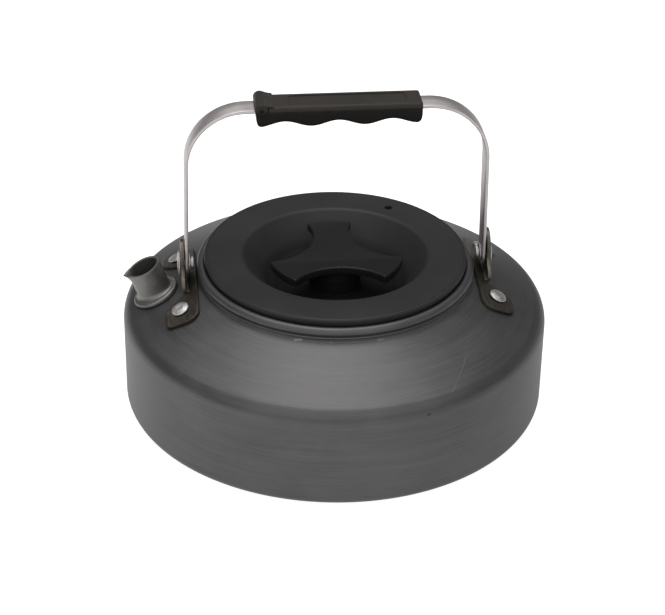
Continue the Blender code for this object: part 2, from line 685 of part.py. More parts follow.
def bowl_profile(offset):
    """One face of the bowl from its lip to its floor, a given depth below the top face."""
    turn = math.radians(BOWL_WALL_SLOPE)
    share = 1 - math.cos(turn)
    straight_drop = BOWL_DEPTH - (BOWL_LIP + BOWL_SWEEP) * share
    run = straight_drop / math.tan(turn) + (BOWL_LIP + BOWL_SWEEP) * math.sin(turn)
    floor_x = BOWL_RADIUS - run
    lip = arc_points(BOWL_RADIUS, LID_TOP - BOWL_LIP, BOWL_LIP - offset, 90, 90 + BOWL_WALL_SLOPE, 3)
    sweep_z = BOWL_FLOOR + BOWL_SWEEP
    return lip + arc_points(floor_x, sweep_z, BOWL_SWEEP + offset, 270 + BOWL_WALL_SLOPE, 270, 4)


def make_lid_dish():
    bore = SCREW_SHANK + CLEARANCE
    under = LID_TOP - LID_WALL
    groove_top = SEAT_Z - SEAL_DROP
    groove_x = PLUG_RADIUS - SEAL_GROOVE
    profile = [(bore, BOWL_FLOOR)]
    profile += list(reversed(bowl_profile(0.0)))
    profile += arc_points(SEAT_X, LID_TOP - LID_EDGE_ROUND, LID_EDGE_ROUND, 90, 0, 2)
    profile += [(LID_RADIUS, LID_TOP - LID_EDGE), (SEAT_X, SEAT_Z), (PLUG_RADIUS, SEAT_Z)]
    profile += [(PLUG_RADIUS, groove_top), (groove_x, groove_top), (groove_x, groove_top - SEAL_HEIGHT)]
    profile += [(PLUG_RADIUS, groove_top - SEAL_HEIGHT), (PLUG_RADIUS, PLUG_BOTTOM)]
    inner_x = groove_x - PLUG_WALL
    profile += [(inner_x, PLUG_BOTTOM), (inner_x, under)]
    profile += bowl_profile(LID_WALL)
    profile.append((bore, BOWL_FLOOR - LID_WALL))
    lid = turned("lid_dish", profile, ROUND_SEGMENTS, LID_PLASTIC, closed=True)
    reach = LID_WALL + CUT_REACH
    vent_profile = [(0.0, reach), (VENT_RADIUS, reach), (VENT_RADIUS, -reach), (0.0, -reach)]
    vent = turned("vent_drill", vent_profile, SMALL_SEGMENTS // 2, collection=CUTTERS)
    angle = math.radians(VENT_ANGLE)
    from_axis = BOWL_RADIUS + VENT_FROM_BOWL
    vent.location = (from_axis * math.cos(angle), from_axis * math.sin(angle), LID_TOP)
    combine(lid, vent, "DIFFERENCE")
    settle(lid)


def make_lid_seal():
    outer = NECK_RADIUS - CLEARANCE
    inner = PLUG_RADIUS - SEAL_GROOVE + CLEARANCE
    top = SEAT_Z - SEAL_DROP - CLEARANCE
    bottom = SEAT_Z - SEAL_DROP - SEAL_HEIGHT + CLEARANCE
    shelf = (outer - inner) / 2
    profile = [(inner, top), (inner + shelf, top), (outer, (top + bottom) / 2)]
    profile += [(inner + shelf, bottom), (inner, bottom)]
    settle(turned("lid_seal", profile, ROUND_SEGMENTS, SEAL_RUBBER, closed=True))


def make_lid_knob():
    """Arms joined by hollow arcs, on a round stem with a blind screw hole."""
    pitch = 360.0 / KNOB_ARMS
    half_gap = math.radians(pitch / 2 - KNOB_ARM_HALF_ANGLE)
    chord = KNOB_ARM * math.sin(half_gap)
    sag = KNOB_ARM * math.cos(half_gap) - KNOB_WAIST
    hollow = (chord ** 2 + sag ** 2) / (2 * sag)
    centre = KNOB_WAIST + hollow
    spread = math.degrees(math.asin(chord / hollow))
    outline = []
    for arm in range(KNOB_ARMS):
        direction = KNOB_FIRST_ARM + pitch * arm
        tip = KNOB_ARM_HALF_ANGLE
        outline += arc_points(0, 0, KNOB_ARM, direction - tip, direction + tip, 4)
        middle = math.radians(direction + pitch / 2)
        start = direction + pitch / 2 + 180.0 + spread
        centre_x = centre * math.cos(middle)
        centre_y = centre * math.sin(middle)
        outline += arc_points(centre_x, centre_y, hollow, start, start - 2 * spread, 9)[1:-1]
    top = LID_TOP - KNOB_TOP_DROP
    knob = prism("lid_knob", outline, KNOB_PLATE, KNOB_PLASTIC)
    knob.matrix_world = Matrix.Translation((0.0, 0.0, top - KNOB_PLATE / 2))
    stem_foot = BOWL_FLOOR + CLEARANCE
    stem_top = top - KNOB_PLATE / 2
    stem_profile = [(0.0, stem_top), (KNOB_STEM, stem_top), (KNOB_STEM, stem_foot), (0.0, stem_foot)]
    stem = turned("knob_stem", stem_profile, TUBE_SEGMENTS, collection=CUTTERS)
    combine(knob, stem, "UNION")
    bore = SCREW_SHANK + CLEARANCE
    depth = stem_foot + SCREW_LENGTH
    drill_profile = [(0.0, depth), (bore, depth), (bore, stem_foot - CUT_REACH), (0.0, stem_foot - CUT_REACH)]
    drill = turned("knob_drill", drill_profile, SMALL_SEGMENTS, collection=CUTTERS)
    combine(knob, drill, "DIFFERENCE")
    settle(knob)


def make_knob_screw():
    under_lid = BOWL_FLOOR - LID_WALL
    seat = under_lid - CLEARANCE - KNOB_WASHER_THICKNESS - CLEARANCE
    tip = BOWL_FLOOR + SCREW_LENGTH - CLEARANCE
    head = seat - SCREW_HEAD_HEIGHT
    profile = [(0.0, tip), (SCREW_SHANK - SCREW_EDGE, tip), (SCREW_SHANK, tip - SCREW_EDGE)]
    profile += [(SCREW_SHANK, seat), (SCREW_HEAD, seat), (SCREW_HEAD, head + SCREW_EDGE)]
    profile += [(SCREW_HEAD - SCREW_EDGE, head), (0.0, head)]
    screw = turned("knob_screw", profile, SMALL_SEGMENTS, BRIGHT_STEEL)
    length = 2 * (SCREW_HEAD + CUT_REACH)
    for index, turn in enumerate((0.0, math.pi / 2)):
        half = SCREW_SLOT_WIDTH / 2
        slot_outline = [(-length / 2, -half), (length / 2, -half), (length / 2, half), (-length / 2, half)]
        slot = prism(f"screw_slot_{index}", slot_outline, 2 * SCREW_SLOT_DEPTH, collection=CUTTERS)
        slot.matrix_world = Matrix.Translation((0.0, 0.0, head)) @ Matrix.Rotation(turn, 4, "Z")
        combine(screw, slot, "DIFFERENCE")
    settle(screw)
    washer_top = under_lid - CLEARANCE
    washer_low = washer_top - KNOB_WASHER_THICKNESS
    bore = SCREW_SHANK + CLEARANCE
    ring = [(bore, washer_top), (KNOB_WASHER_RADIUS, washer_top)]
    ring += [(KNOB_WASHER_RADIUS, washer_low), (bore, washer_low)]
    settle(turned("knob_washer", ring, SMALL_SEGMENTS, BRIGHT_STEEL, closed=True))


def hang(name, height, children):
    """Put an empty on the Z axis at a moving body's joint and parent its pieces to it."""
    joint = bpy.data.objects.new(name, None)
    PARTS.objects.link(joint)
    joint.location.z = height
    bpy.context.view_layer.update()
    for child in children:
        piece = bpy.data.objects[child]
        piece.parent = joint
        piece.matrix_parent_inverse = joint.matrix_world.inverted()


def build():
    make_kettle_body()
    make_spout()
    for side, azimuth in (("left", 180.0), ("right", 0.0)):
        make_bracket(f"{side}_bracket", azimuth)
        make_pivot_rivet(f"{side}_pivot_rivet", azimuth)
        make_pivot_washer(f"{side}_pivot_washer", azimuth)
    for name, azimuth in rivet_places().items():
        make_bracket_rivet(name, azimuth)
    make_bail_strip()
    make_grip_base()
    make_grip_cover()
    make_lid_dish()
    make_lid_seal()
    make_lid_knob()
    make_knob_screw()
    hang("bail_joint", PIVOT_HEIGHT, ("bail_strip", "grip_base", "grip_cover"))
    hang("lid_joint", SEAT_Z, ("lid_dish", "lid_seal", "lid_knob", "knob_screw", "knob_washer"))


build()
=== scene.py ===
import math

import bmesh
import bpy
from mathutils import Matrix, Vector


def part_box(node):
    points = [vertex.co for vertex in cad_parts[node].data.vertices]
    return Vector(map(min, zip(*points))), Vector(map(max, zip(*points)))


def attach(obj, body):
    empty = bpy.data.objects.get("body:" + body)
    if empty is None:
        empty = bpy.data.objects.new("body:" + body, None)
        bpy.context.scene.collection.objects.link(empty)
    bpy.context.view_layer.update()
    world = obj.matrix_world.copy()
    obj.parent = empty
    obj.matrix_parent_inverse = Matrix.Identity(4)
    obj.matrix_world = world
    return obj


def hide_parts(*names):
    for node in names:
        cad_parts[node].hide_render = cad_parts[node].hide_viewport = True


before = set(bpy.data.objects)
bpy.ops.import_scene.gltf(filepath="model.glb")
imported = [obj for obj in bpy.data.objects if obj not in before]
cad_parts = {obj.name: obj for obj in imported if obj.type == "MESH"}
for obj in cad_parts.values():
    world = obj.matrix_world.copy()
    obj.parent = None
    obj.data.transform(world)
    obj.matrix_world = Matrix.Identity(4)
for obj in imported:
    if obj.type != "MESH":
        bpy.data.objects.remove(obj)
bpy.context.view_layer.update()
print("frame loaded:", len(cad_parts), "nodes")

# room between two pieces that fit into each other, and how far a drill goes past a sheet
clearance = 0.0003
drillReach = 0.004


# mesh helpers

def arcPoints(centreX, centreZ, radius, start, end, steps):
    points = []
    for step in range(steps + 1):
        angle = math.radians(start + (end - start) * step / steps)
        points.append((centreX + radius * math.cos(angle), centreZ + radius * math.sin(angle)))
    return points


def shadeRound(piece, angle=32.0):
    piece.data.shade_smooth()
    piece.data.set_sharp_from_angle(angle=math.radians(angle))


def newObject(name, data):
    piece = bpy.data.objects.new(name, data)
    bpy.context.scene.collection.objects.link(piece)
    return piece


def bakeModifiers(piece):
    bpy.context.view_layer.update()
    graph = bpy.context.evaluated_depsgraph_get()
    mesh = bpy.data.meshes.new_from_object(piece.evaluated_get(graph))
    piece.modifiers.clear()
    piece.data = mesh


def placeMesh(piece, matrix):
    # the place goes into the mesh, so every object stays at the origin
    piece.data.transform(matrix)
    piece.data.update()
    return piece


def turnProfile(name, profile, segments, closed=False):
    mesh = bpy.data.meshes.new(name)
    shape = bmesh.new()
    corners = [shape.verts.new((radius, 0.0, height)) for radius, height in profile]
    pairs = list(zip(corners, corners[1:]))
    if closed:
        pairs.append((corners[-1], corners[0]))
    for first, second in pairs:
        shape.edges.new((first, second))
    shape.to_mesh(mesh)
    shape.free()
    piece = newObject(name, mesh)
    screw = piece.modifiers.new("turn", "SCREW")
    screw.axis = "Z"
    screw.angle = math.tau
    screw.steps = segments
    screw.render_steps = segments
    screw.use_merge_vertices = True
    screw.merge_threshold = 0.00001
    bakeModifiers(piece)
    shadeRound(piece)
    return piece


def loftRings(name, rings, loop=False):
    # rings of equal length are joined in order; an open loft gets flat ends
    shape = bmesh.new()
    corners = [[shape.verts.new(point) for point in ring] for ring in rings]
    count = len(rings[0])
    pairs = list(zip(corners, corners[1:]))
    if loop:
        pairs.append((corners[-1], corners[0]))
    for lower, upper in pairs:
        for index in range(count):
            after = (index + 1) % count
            shape.faces.new((lower[index], lower[after], upper[after], upper[index]))
    if not loop:
        shape.faces.new(list(reversed(corners[0])))
        shape.faces.new(corners[-1])
    bmesh.ops.recalc_face_normals(shape, faces=shape.faces)
    mesh = bpy.data.meshes.new(name)
    shape.to_mesh(mesh)
    shape.free()
    piece = newObject(name, mesh)
    shadeRound(piece)
    return piece


def flatPrism(name, outline, thickness):
    # a flat outline in XY, given thickness evenly to both sides
    half = thickness / 2
    low = [(x, y, -half) for x, y in outline]
    high = [(x, y, half) for x, y in outline]
    return loftRings(name, [low, high])


def roundCorners(corners, step=10.0):
    outline = []
    count = len(corners)
    for index, (x, y, radius) in enumerate(corners):
        corner = Vector((x, y))
        if radius <= 0.0:
            outline.append((x, y))
            continue
        before = (Vector(corners[index - 1][:2]) - corner).normalized()
        after = (Vector(corners[(index + 1) % count][:2]) - corner).normalized()
        halfAngle = before.angle(after) / 2
        centre = corner + (before + after).normalized() * radius / math.sin(halfAngle)
        start = corner + before * radius / math.tan(halfAngle) - centre
        end = corner + after * radius / math.tan(halfAngle) - centre
        sweep = start.angle_signed(end)
        steps = max(2, round(abs(math.degrees(sweep)) / step))
        for number in range(steps + 1):
            outline.append(tuple(centre + Matrix.Rotation(-sweep * number / steps, 2) @ start))
    return outline


def combine(piece, other, operation="DIFFERENCE"):
    boolean = piece.modifiers.new(operation.lower(), "BOOLEAN")
    boolean.operation = operation
    boolean.solver = "EXACT"
    boolean.object = other
    bakeModifiers(piece)
    bpy.data.objects.remove(other)


def bevelEdges(piece, width, segments, angle):
    bevel = piece.modifiers.new("soft edges", "BEVEL")
    bevel.width = width
    bevel.segments = segments
    bevel.limit_method = "ANGLE"
    bevel.angle_limit = math.radians(angle)
    bevel.use_clamp_overlap = True
    bevel.miter_outer = "MITER_ARC"
    bakeModifiers(piece)


def makeDrill(name, radius, low, high, segments):
    return turnProfile(name, [(0.0, high), (radius, high), (radius, low), (0.0, low)], segments)


def washerProfile(bore, outer, low, high, soft):
    return [(bore, high), (outer - soft, high), (outer, high - soft),
            (outer, low + soft), (outer - soft, low), (bore, low)]


def oblong(length, width, corner=0.0, step=10.0):
    # a rectangle round the origin, with rounded corners where it has them
    x = length / 2
    y = width / 2
    return roundCorners([(-x, -y, corner), (x, -y, corner), (x, y, corner), (-x, y, corner)], step)


def aroundAxis(azimuth):
    return Matrix.Rotation(math.radians(azimuth), 4, "Z")


def onShoulder(radius, azimuth):
    place = Matrix.Translation((radius, 0.0, shoulderHeight(radius)))
    return aroundAxis(azimuth) @ place @ Matrix.Rotation(slope, 4, "Y")


def alongPivot(azimuth):
    place = Matrix.Translation((0.0, 0.0, pivotHeight))
    return aroundAxis(azimuth) @ place @ Matrix.Rotation(math.pi / 2, 4, "Y")


def finishPiece(piece, node, body, material):
    piece.data.materials.clear()
    piece.data.materials.append(material)
    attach(piece, body)
    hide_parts(node)


# node helpers

def addNode(tree, kind, **settings):
    # every new node stands beside the last one, six to a row
    node = tree.nodes.new(kind)
    row, column = divmod(len(tree.nodes) - 1, 6)
    node.location = (220 * column, -320 * row)
    for key, value in settings.items():
        setattr(node, key, value)
    return node


def setSocket(socket, value):
    # a socket takes a plain value, or a link from another node
    if isinstance(value, bpy.types.NodeSocket):
        socket.id_data.links.new(value, socket)
    elif value is not None:
        socket.default_value = value


def setInputs(node, **values):
    # an underscore stands for the blank in a socket's name
    for key, value in values.items():
        setSocket(node.inputs[key.replace("_", " ")], value)
    return node


def mathNode(tree, operation, *values, clamp=False):
    node = addNode(tree, "ShaderNodeMath", operation=operation, use_clamp=clamp)
    for socket, value in zip(node.inputs, values):
        setSocket(socket, value)
    return node.outputs[0]


def vectorNode(tree, operation, first, second=None, scale=None):
    node = addNode(tree, "ShaderNodeVectorMath", operation=operation)
    setSocket(node.inputs[0], first)
    setSocket(node.inputs[1], second)
    if scale is not None:
        setSocket(node.inputs["Scale"], scale)
    return node.outputs["Value" if operation in ("LENGTH", "DOT_PRODUCT", "DISTANCE") else "Vector"]


def rampNode(tree, source, low, high, fromValue=0.0, toValue=1.0):
    node = addNode(tree, "ShaderNodeMapRange", clamp=True)
    setInputs(node, Value=source, From_Min=low, From_Max=high, To_Min=fromValue, To_Max=toValue)
    return node.outputs["Result"]


def noiseNode(tree, place, **values):
    node = addNode(tree, "ShaderNodeTexNoise", noise_dimensions="4D" if "W" in values else "3D")
    return setInputs(node, Vector=place, **values)


def objectPlace(tree):
    return addNode(tree, "ShaderNodeTexCoord").outputs["Object"]


def splitPlace(tree):
    split = addNode(tree, "ShaderNodeSeparateXYZ")
    setSocket(split.inputs[0], objectPlace(tree))
    return split.outputs


def newGroup(name, inputs, outputs):
    group = bpy.data.node_groups.new(name, "ShaderNodeTree")
    for socketName, value in inputs.items():
        kind = "NodeSocketVector" if isinstance(value, tuple) else "NodeSocketFloat"
        socket = group.interface.new_socket(name=socketName, in_out="INPUT", socket_type=kind)
        socket.default_value = value
    for socketName in outputs:
        group.interface.new_socket(name=socketName, in_out="OUTPUT", socket_type="NodeSocketFloat")
    return group, addNode(group, "NodeGroupInput").outputs, addNode(group, "NodeGroupOutput")


def placeGroup(tree, group, **values):
    return setInputs(addNode(tree, "ShaderNodeGroup", node_tree=group), **values).outputs


def makeTurnedGrain():
    # lines round the Z axis, as a lathe leaves them
    group, start, end = newGroup("turned grain", {"Across": 1500.0, "Along": 3.0}, ("Grain", "Band"))
    place = splitPlace(group)
    flat = setInputs(addNode(group, "ShaderNodeCombineXYZ"), X=place["X"], Y=place["Y"]).outputs[0]
    rise = mathNode(group, "MULTIPLY", place["Z"], start["Across"])
    upward = setInputs(addNode(group, "ShaderNodeCombineXYZ"), Z=rise).outputs[0]
    around = vectorNode(group, "SCALE", vectorNode(group, "NORMALIZE", flat), scale=start["Along"])
    spot = vectorNode(group, "ADD", around, upward)
    reach = mathNode(group, "MULTIPLY", vectorNode(group, "LENGTH", flat), start["Across"])
    fine = noiseNode(group, spot, W=reach, Scale=1.0, Detail=4.0, Roughness=0.62)
    broad = noiseNode(group, spot, W=reach, Scale=0.13, Detail=2.0, Roughness=0.5)
    setInputs(end, Grain=fine.outputs[0], Band=broad.outputs[0])
    return group


def makeBrushedGrain():
    # straight lines; the stretch is small along the brushing
    group, start, end = newGroup("brushed grain", {"Stretch": (1.0, 1.0, 1.0)}, ("Grain",))
    spot = vectorNode(group, "MULTIPLY", objectPlace(group), start["Stretch"])
    noise = noiseNode(group, spot, Scale=1.0, Detail=4.0, Roughness=0.65)
    setInputs(end, Grain=noise.outputs[0])
    return group


def makeMouldGrain():
    # fine spark-eroded texture of moulded plastic
    group, start, end = newGroup("mould grain", {"Scale": 2600.0}, ("Height", "Tone"))
    place = objectPlace(group)
    cells = addNode(group, "ShaderNodeTexVoronoi", feature="SMOOTH_F1")
    setInputs(cells, Vector=place, Scale=start["Scale"])
    noise = noiseNode(group, place, Scale=start["Scale"], Detail=3.0, Roughness=0.6).outputs[0]
    height = mathNode(group, "MULTIPLY_ADD", cells.outputs["Distance"], 0.6, noise)
    setInputs(end, Height=height, Tone=noise)
    return group


def makeHandlingMarks():
    # large soft patches from heat, hands and wiping
    group, start, end = newGroup("handling marks", {"Scale": 38.0}, ("Patch",))
    place = objectPlace(group)
    patch = noiseNode(group, place, Scale=start["Scale"], Detail=4.0, Roughness=0.55, Distortion=0.4)
    setInputs(end, Patch=patch.outputs[0])
    return group


def makeEdgeWear():
    # brighter edges, broken up by noise
    group, start, end = newGroup("edge wear", {"Low": 0.52, "High": 0.60, "Break Scale": 300.0}, ("Mask",))
    pointiness = addNode(group, "ShaderNodeNewGeometry").outputs["Pointiness"]
    edge = rampNode(group, pointiness, start["Low"], start["High"])
    noise = noiseNode(group, objectPlace(group), Scale=start["Break Scale"], Detail=3.0, Roughness=0.6)
    broken = rampNode(group, noise.outputs[0], 0.35, 0.62)
    setInputs(end, Mask=mathNode(group, "MULTIPLY", edge, broken))
    return group


def makeScratch():
    # a thin mark between two points of the object, with an unsteady edge
    inputs = {"Start": (0.0, 0.0, 0.0), "End": (0.0, 0.0, 0.01), "Half Width": 0.0002}
    group, start, end = newGroup("scratch", inputs, ("Mask",))
    place = objectPlace(group)
    wobble = noiseNode(group, place, Scale=160.0, Detail=1.0)
    shift = vectorNode(group, "SUBTRACT", wobble.outputs["Color"], (0.5, 0.5, 0.5))
    spot = vectorNode(group, "ADD", place, vectorNode(group, "SCALE", shift, scale=0.0016))
    toSpot = vectorNode(group, "SUBTRACT", spot, start["Start"])
    span = vectorNode(group, "SUBTRACT", start["End"], start["Start"])
    onSpan = vectorNode(group, "DOT_PRODUCT", toSpot, span)
    share = mathNode(group, "DIVIDE", onSpan, vectorNode(group, "DOT_PRODUCT", span, span), clamp=True)
    off = vectorNode(group, "DISTANCE", vectorNode(group, "SCALE", span, scale=share), toSpot)
    setInputs(end, Mask=rampNode(group, off, 0.0, start["Half Width"], 1.0, 0.0))
    return group


turnedGrain = makeTurnedGrain()
brushedGrain = makeBrushedGrain()
mouldGrain = makeMouldGrain()
handlingMarks = makeHandlingMarks()
edgeWear = makeEdgeWear()
scratchMark = makeScratch()
print("groups made")


def startMaterial(name, metallic, anisotropic=0.0, specular=0.5):
    material = bpy.data.materials.new(name)
    material.use_nodes = True
    tree = material.node_tree
    tree.nodes.clear()
    shader = addNode(tree, "ShaderNodeBsdfPrincipled")
    setInputs(shader, Metallic=metallic, Anisotropic=anisotropic, Specular_IOR_Level=specular)
    setInputs(addNode(tree, "ShaderNodeOutputMaterial"), Surface=shader.outputs[0])
    return material, tree, shader


def mixColours(tree, mask, first, second, blend="MIX"):
    node = addNode(tree, "ShaderNodeMix", data_type="RGBA", blend_type=blend)
    for number, value in ((0, mask), (6, first), (7, second)):
        setSocket(node.inputs[number], (*value, 1.0) if isinstance(value, tuple) else value)
    return node.outputs[2]


def mixTones(tree, *layers):
    # each layer: source, the low and high ends of its ramp, its share; 0 to 1 needs no ramp
    tone = 0.0
    for source, low, high, share in layers:
        if (low, high) != (0.0, 1.0):
            source = rampNode(tree, source, low, high)
        tone = mathNode(tree, "MULTIPLY_ADD", source, share, tone)
    return tone


def finishShader(tree, shader, colour, rough, height, bump, depth):
    relief = setInputs(addNode(tree, "ShaderNodeBump"), Height=height, Strength=bump, Distance=depth)
    setInputs(shader, Base_Color=colour, Roughness=rough, Normal=relief.outputs[0])


def makeAnodised(name, look, spots=(), axisTurned=True):
    material, tree, shader = startMaterial(name, look["metallic"], anisotropic=look["anisotropic"])
    grain = placeGroup(tree, turnedGrain, Across=look["grainAcross"], Along=look["grainAlong"])
    patch = placeGroup(tree, handlingMarks, Scale=look["patchScale"])["Patch"]
    tone = mixTones(tree, (grain["Band"], 0.36, 0.66, 0.22), (grain["Grain"], 0.34, 0.68, 0.42),
                    (patch, 0.35, 0.68, 0.36))
    colour = mixColours(tree, tone, look["dark"], look["light"])
    edges = placeGroup(tree, edgeWear, Low=0.53, High=0.64)["Mask"]
    colour = mixColours(tree, mathNode(tree, "MULTIPLY", edges, look["wear"]), colour, look["worn"])
    for start, end, halfWidth, kind, strength in spots:
        mask = placeGroup(tree, scratchMark, Start=start, End=end, Half_Width=halfWidth)["Mask"]
        colour = mixColours(tree, mathNode(tree, "MULTIPLY", mask, strength), colour, look[kind])
    rough = rampNode(tree, tone, 0.0, 1.0, *look["roughness"])
    if axisTurned:
        around = addNode(tree, "ShaderNodeTangent", direction_type="RADIAL", axis="Z")
        setInputs(shader, Tangent=around.outputs[0])
    finishShader(tree, shader, colour, rough, grain["Grain"], look["bump"], 0.00012)
    return material


def makeSheetMetal(name, dark, light, roughness, stretch, bump, anisotropic=0.0):
    material, tree, shader = startMaterial(name, 1.0, anisotropic=anisotropic)
    grain = placeGroup(tree, brushedGrain, Stretch=stretch)["Grain"]
    patch = placeGroup(tree, handlingMarks, Scale=60.0)["Patch"]
    tone = mixTones(tree, (patch, 0.34, 0.68, 0.45), (grain, 0.32, 0.70, 0.55))
    rough = rampNode(tree, tone, 0.0, 1.0, *roughness)
    finishShader(tree, shader, mixColours(tree, tone, dark, light), rough, grain, bump, 0.0001)
    return material


def makePlastic(name, dark, light, roughness, grainScale, bump, specular=0.3, paintedShadeSpan=None, paintedShadeShare=0.12):
    material, tree, shader = startMaterial(name, 0.0, specular=specular)
    grain = placeGroup(tree, mouldGrain, Scale=grainScale)
    patch = placeGroup(tree, handlingMarks, Scale=46.0)["Patch"]
    edges = placeGroup(tree, edgeWear, Low=0.54, High=0.66)["Mask"]
    tone = mixTones(tree, (patch, 0.32, 0.70, 0.65), (grain["Tone"], 0.0, 1.0, 0.35))
    colour = mixColours(tree, tone, dark, light)
    wornPart = mathNode(tree, "MULTIPLY", edges, 0.25)
    colour = mixColours(tree, wornPart, colour, tuple(4.0 * value for value in light))
    rough = rampNode(tree, tone, 0.0, 1.0, *roughness)
    if paintedShadeSpan:
        # painted shade: the colour darkens towards the low parts of the piece, standing in for the shade in
        # the lid's bowl, under the knob and on the grip's lower front; the same span also makes these parts
        # dull
        height = splitPlace(tree)["Z"]
        colour = mixColours(tree, 1.0, colour, rampNode(tree, height, *paintedShadeSpan, paintedShadeShare, 1.0), "MULTIPLY")
        rough = mathNode(tree, "MAXIMUM", rough, rampNode(tree, height, *paintedShadeSpan, 0.9, 0.0))
    finishShader(tree, shader, colour, rough, grain["Height"], bump, 0.0001)
    return material


# spun vessel
bodySizes = {
    "wall": 0.0012,
    "baseFillet": 0.0045,
    "wallTop": 0.0391,
    "shoulderFillet": 0.0072,
    "shoulderSlope": 25.0,
    "beadRadius": 0.0022,
    "beadReach": 0.0596,
    "beadLift": 0.0040,
    "beadUndercut": 25.0,
    "floorStations": (0.015, 0.035, 0.055, 0.075),
    "stepRadius": 0.0005,     # small ring pressed in under the bead
    "stepDrop": 0.0011,
    "stepInset": 0.00045,
    "grooveInset": 0.00015,
    "grooveRise": 0.00065,
    "seamFillet": 0.0008,
    "baseRings": (0.024, 0.044, 0.064),
    "ringDepth": 0.00018,
    "ringWidth": 0.0011,
    "segments": 256,
}
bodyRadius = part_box("kettle_body")[1].x
slope = math.radians(bodySizes["shoulderSlope"])
cornerX = bodyRadius - bodySizes["shoulderFillet"]
coneStartX = cornerX + bodySizes["shoulderFillet"] * math.sin(slope)
coneStartZ = bodySizes["wallTop"] + bodySizes["shoulderFillet"] * math.cos(slope)
beadX = bodySizes["beadReach"] - bodySizes["beadRadius"]
neckRadius = beadX - bodySizes["beadRadius"]


def shoulderHeight(radius):
    return coneStartZ + (coneStartX - radius) * math.tan(slope)


beadZ = shoulderHeight(bodySizes["beadReach"]) + bodySizes["beadLift"]

anodisedLook = {
    "dark": (0.083, 0.081, 0.083),
    "light": (0.142, 0.138, 0.141),
    "worn": (0.34, 0.335, 0.33),
    "bare": (0.34, 0.335, 0.33),      # light marks, through the coat
    "burnt": (0.015, 0.014, 0.013),   # dark marks
    "roughness": (0.40, 0.52),
    "grainAcross": 1700.0,
    "grainAlong": 4.0,
    "patchScale": 34.0,
    "wear": 0.5,
    "metallic": 0.75,
    "anisotropic": 0.35,
    "bump": 0.10,
}
bodyMarks = {
    # each end: distance from the axis, azimuth, height; then half width, colour, strength
    "shoulder scratch": ((0.0767, -50.3, 0.0506), (0.0880, -63.3, 0.0453), 0.00040, "bare", 0.20),
    "wall dot": ((0.0914, -71.5, 0.0402), (0.0915, -71.0, 0.0402), 0.00070, "burnt", 0.80),
    "first fleck": ((0.0593, -111.8, 0.0587), (0.0593, -109.5, 0.0587), 0.00075, "bare", 0.65),
    "second fleck": ((0.0585, -97.5, 0.0590), (0.0584, -95.1, 0.0590), 0.00075, "bare", 0.70),
    "third fleck": ((0.0586, -88.6, 0.0590), (0.0586, -86.5, 0.0590), 0.00070, "bare", 0.55),
    "fourth fleck": ((0.0590, -78.5, 0.0588), (0.0591, -76.3, 0.0588), 0.00070, "bare", 0.60),
}
bodySpots = []
for *ends, halfWidth, kind, strength in bodyMarks.values():
    start, end = [tuple(aroundAxis(turn) @ Vector((radius, 0.0, height))) for radius, turn, height in ends]
    bodySpots.append((start, end, halfWidth, kind, strength))
anodised = makeAnodised("anodised aluminium", anodisedLook, bodySpots)


def makeKettleBody():
    sizes = bodySizes
    wallTop = sizes["wallTop"]
    base = sizes["baseFillet"]
    corner = sizes["shoulderFillet"]
    steepness = 90 - sizes["shoulderSlope"]
    rise = sizes["wall"] / math.cos(slope)
    profile = [(0.0, sizes["wall"])]
    profile += [(radius, sizes["wall"]) for radius in sizes["floorStations"]]
    profile += arcPoints(bodyRadius - base, base, base - sizes["wall"], -90, 0, 8)
    profile += arcPoints(cornerX, wallTop, corner - sizes["wall"], 0, steepness, 10)
    profile.append((neckRadius, shoulderHeight(neckRadius) - rise))
    profile += arcPoints(beadX, beadZ, sizes["beadRadius"], 180, -sizes["beadUndercut"], 34)
    # a small ring under the rolled bead, then the shoulder
    ringRound = sizes["stepRadius"]
    stepX = profile[-1][0] - sizes["stepInset"]
    stepZ = profile[-1][1] - sizes["stepDrop"]
    profile.append((profile[-1][0] - sizes["grooveInset"], stepZ + sizes["grooveRise"]))
    profile += arcPoints(stepX, stepZ, ringRound, 60, -60, 8)
    fillet = sizes["seamFillet"]
    under = profile[-1][0]
    filletX = under + fillet
    filletZ = shoulderHeight(filletX) + fillet / math.cos(slope)
    profile += arcPoints(filletX, filletZ, fillet, 180, 270 - sizes["shoulderSlope"], 8)
    steps = 12
    shoulderStart = profile[-1][0]
    for step in range(1, steps):
        radius = shoulderStart + (coneStartX - shoulderStart) * step / steps
        profile.append((radius, shoulderHeight(radius)))
    profile += arcPoints(cornerX, wallTop, corner, steepness, 0, 14)
    for step in range(1, steps):
        profile.append((bodyRadius, wallTop + (base - wallTop) * step / steps))
    profile += arcPoints(bodyRadius - base, base, base, 0, -90, 12)
    half = sizes["ringWidth"] / 2
    for radius in reversed(sizes["baseRings"]):
        profile += [(radius + half, 0.0), (radius + half / 2, sizes["ringDepth"])]
        profile += [(radius - half / 2, sizes["ringDepth"]), (radius - half, 0.0)]
    profile.append((0.0, 0.0))
    body = turnProfile("kettle_body_spun", profile, sizes["segments"])
    drill = makeDrill("spout_drill", spoutSizes["radius"] + clearance, -drillReach, drillReach, 64)
    placeMesh(drill, spoutPlace())
    combine(body, drill)
    for azimuth in rivetPlaces.values():
        drill = makeDrill("rivet_drill", rivetSizes["shank"] + clearance, -drillReach, drillReach, 32)
        placeMesh(drill, onShoulder(rivetFromAxis, azimuth))
        combine(body, drill)
    shadeRound(body)
    finishPiece(body, "kettle_body", "vessel", anodised)


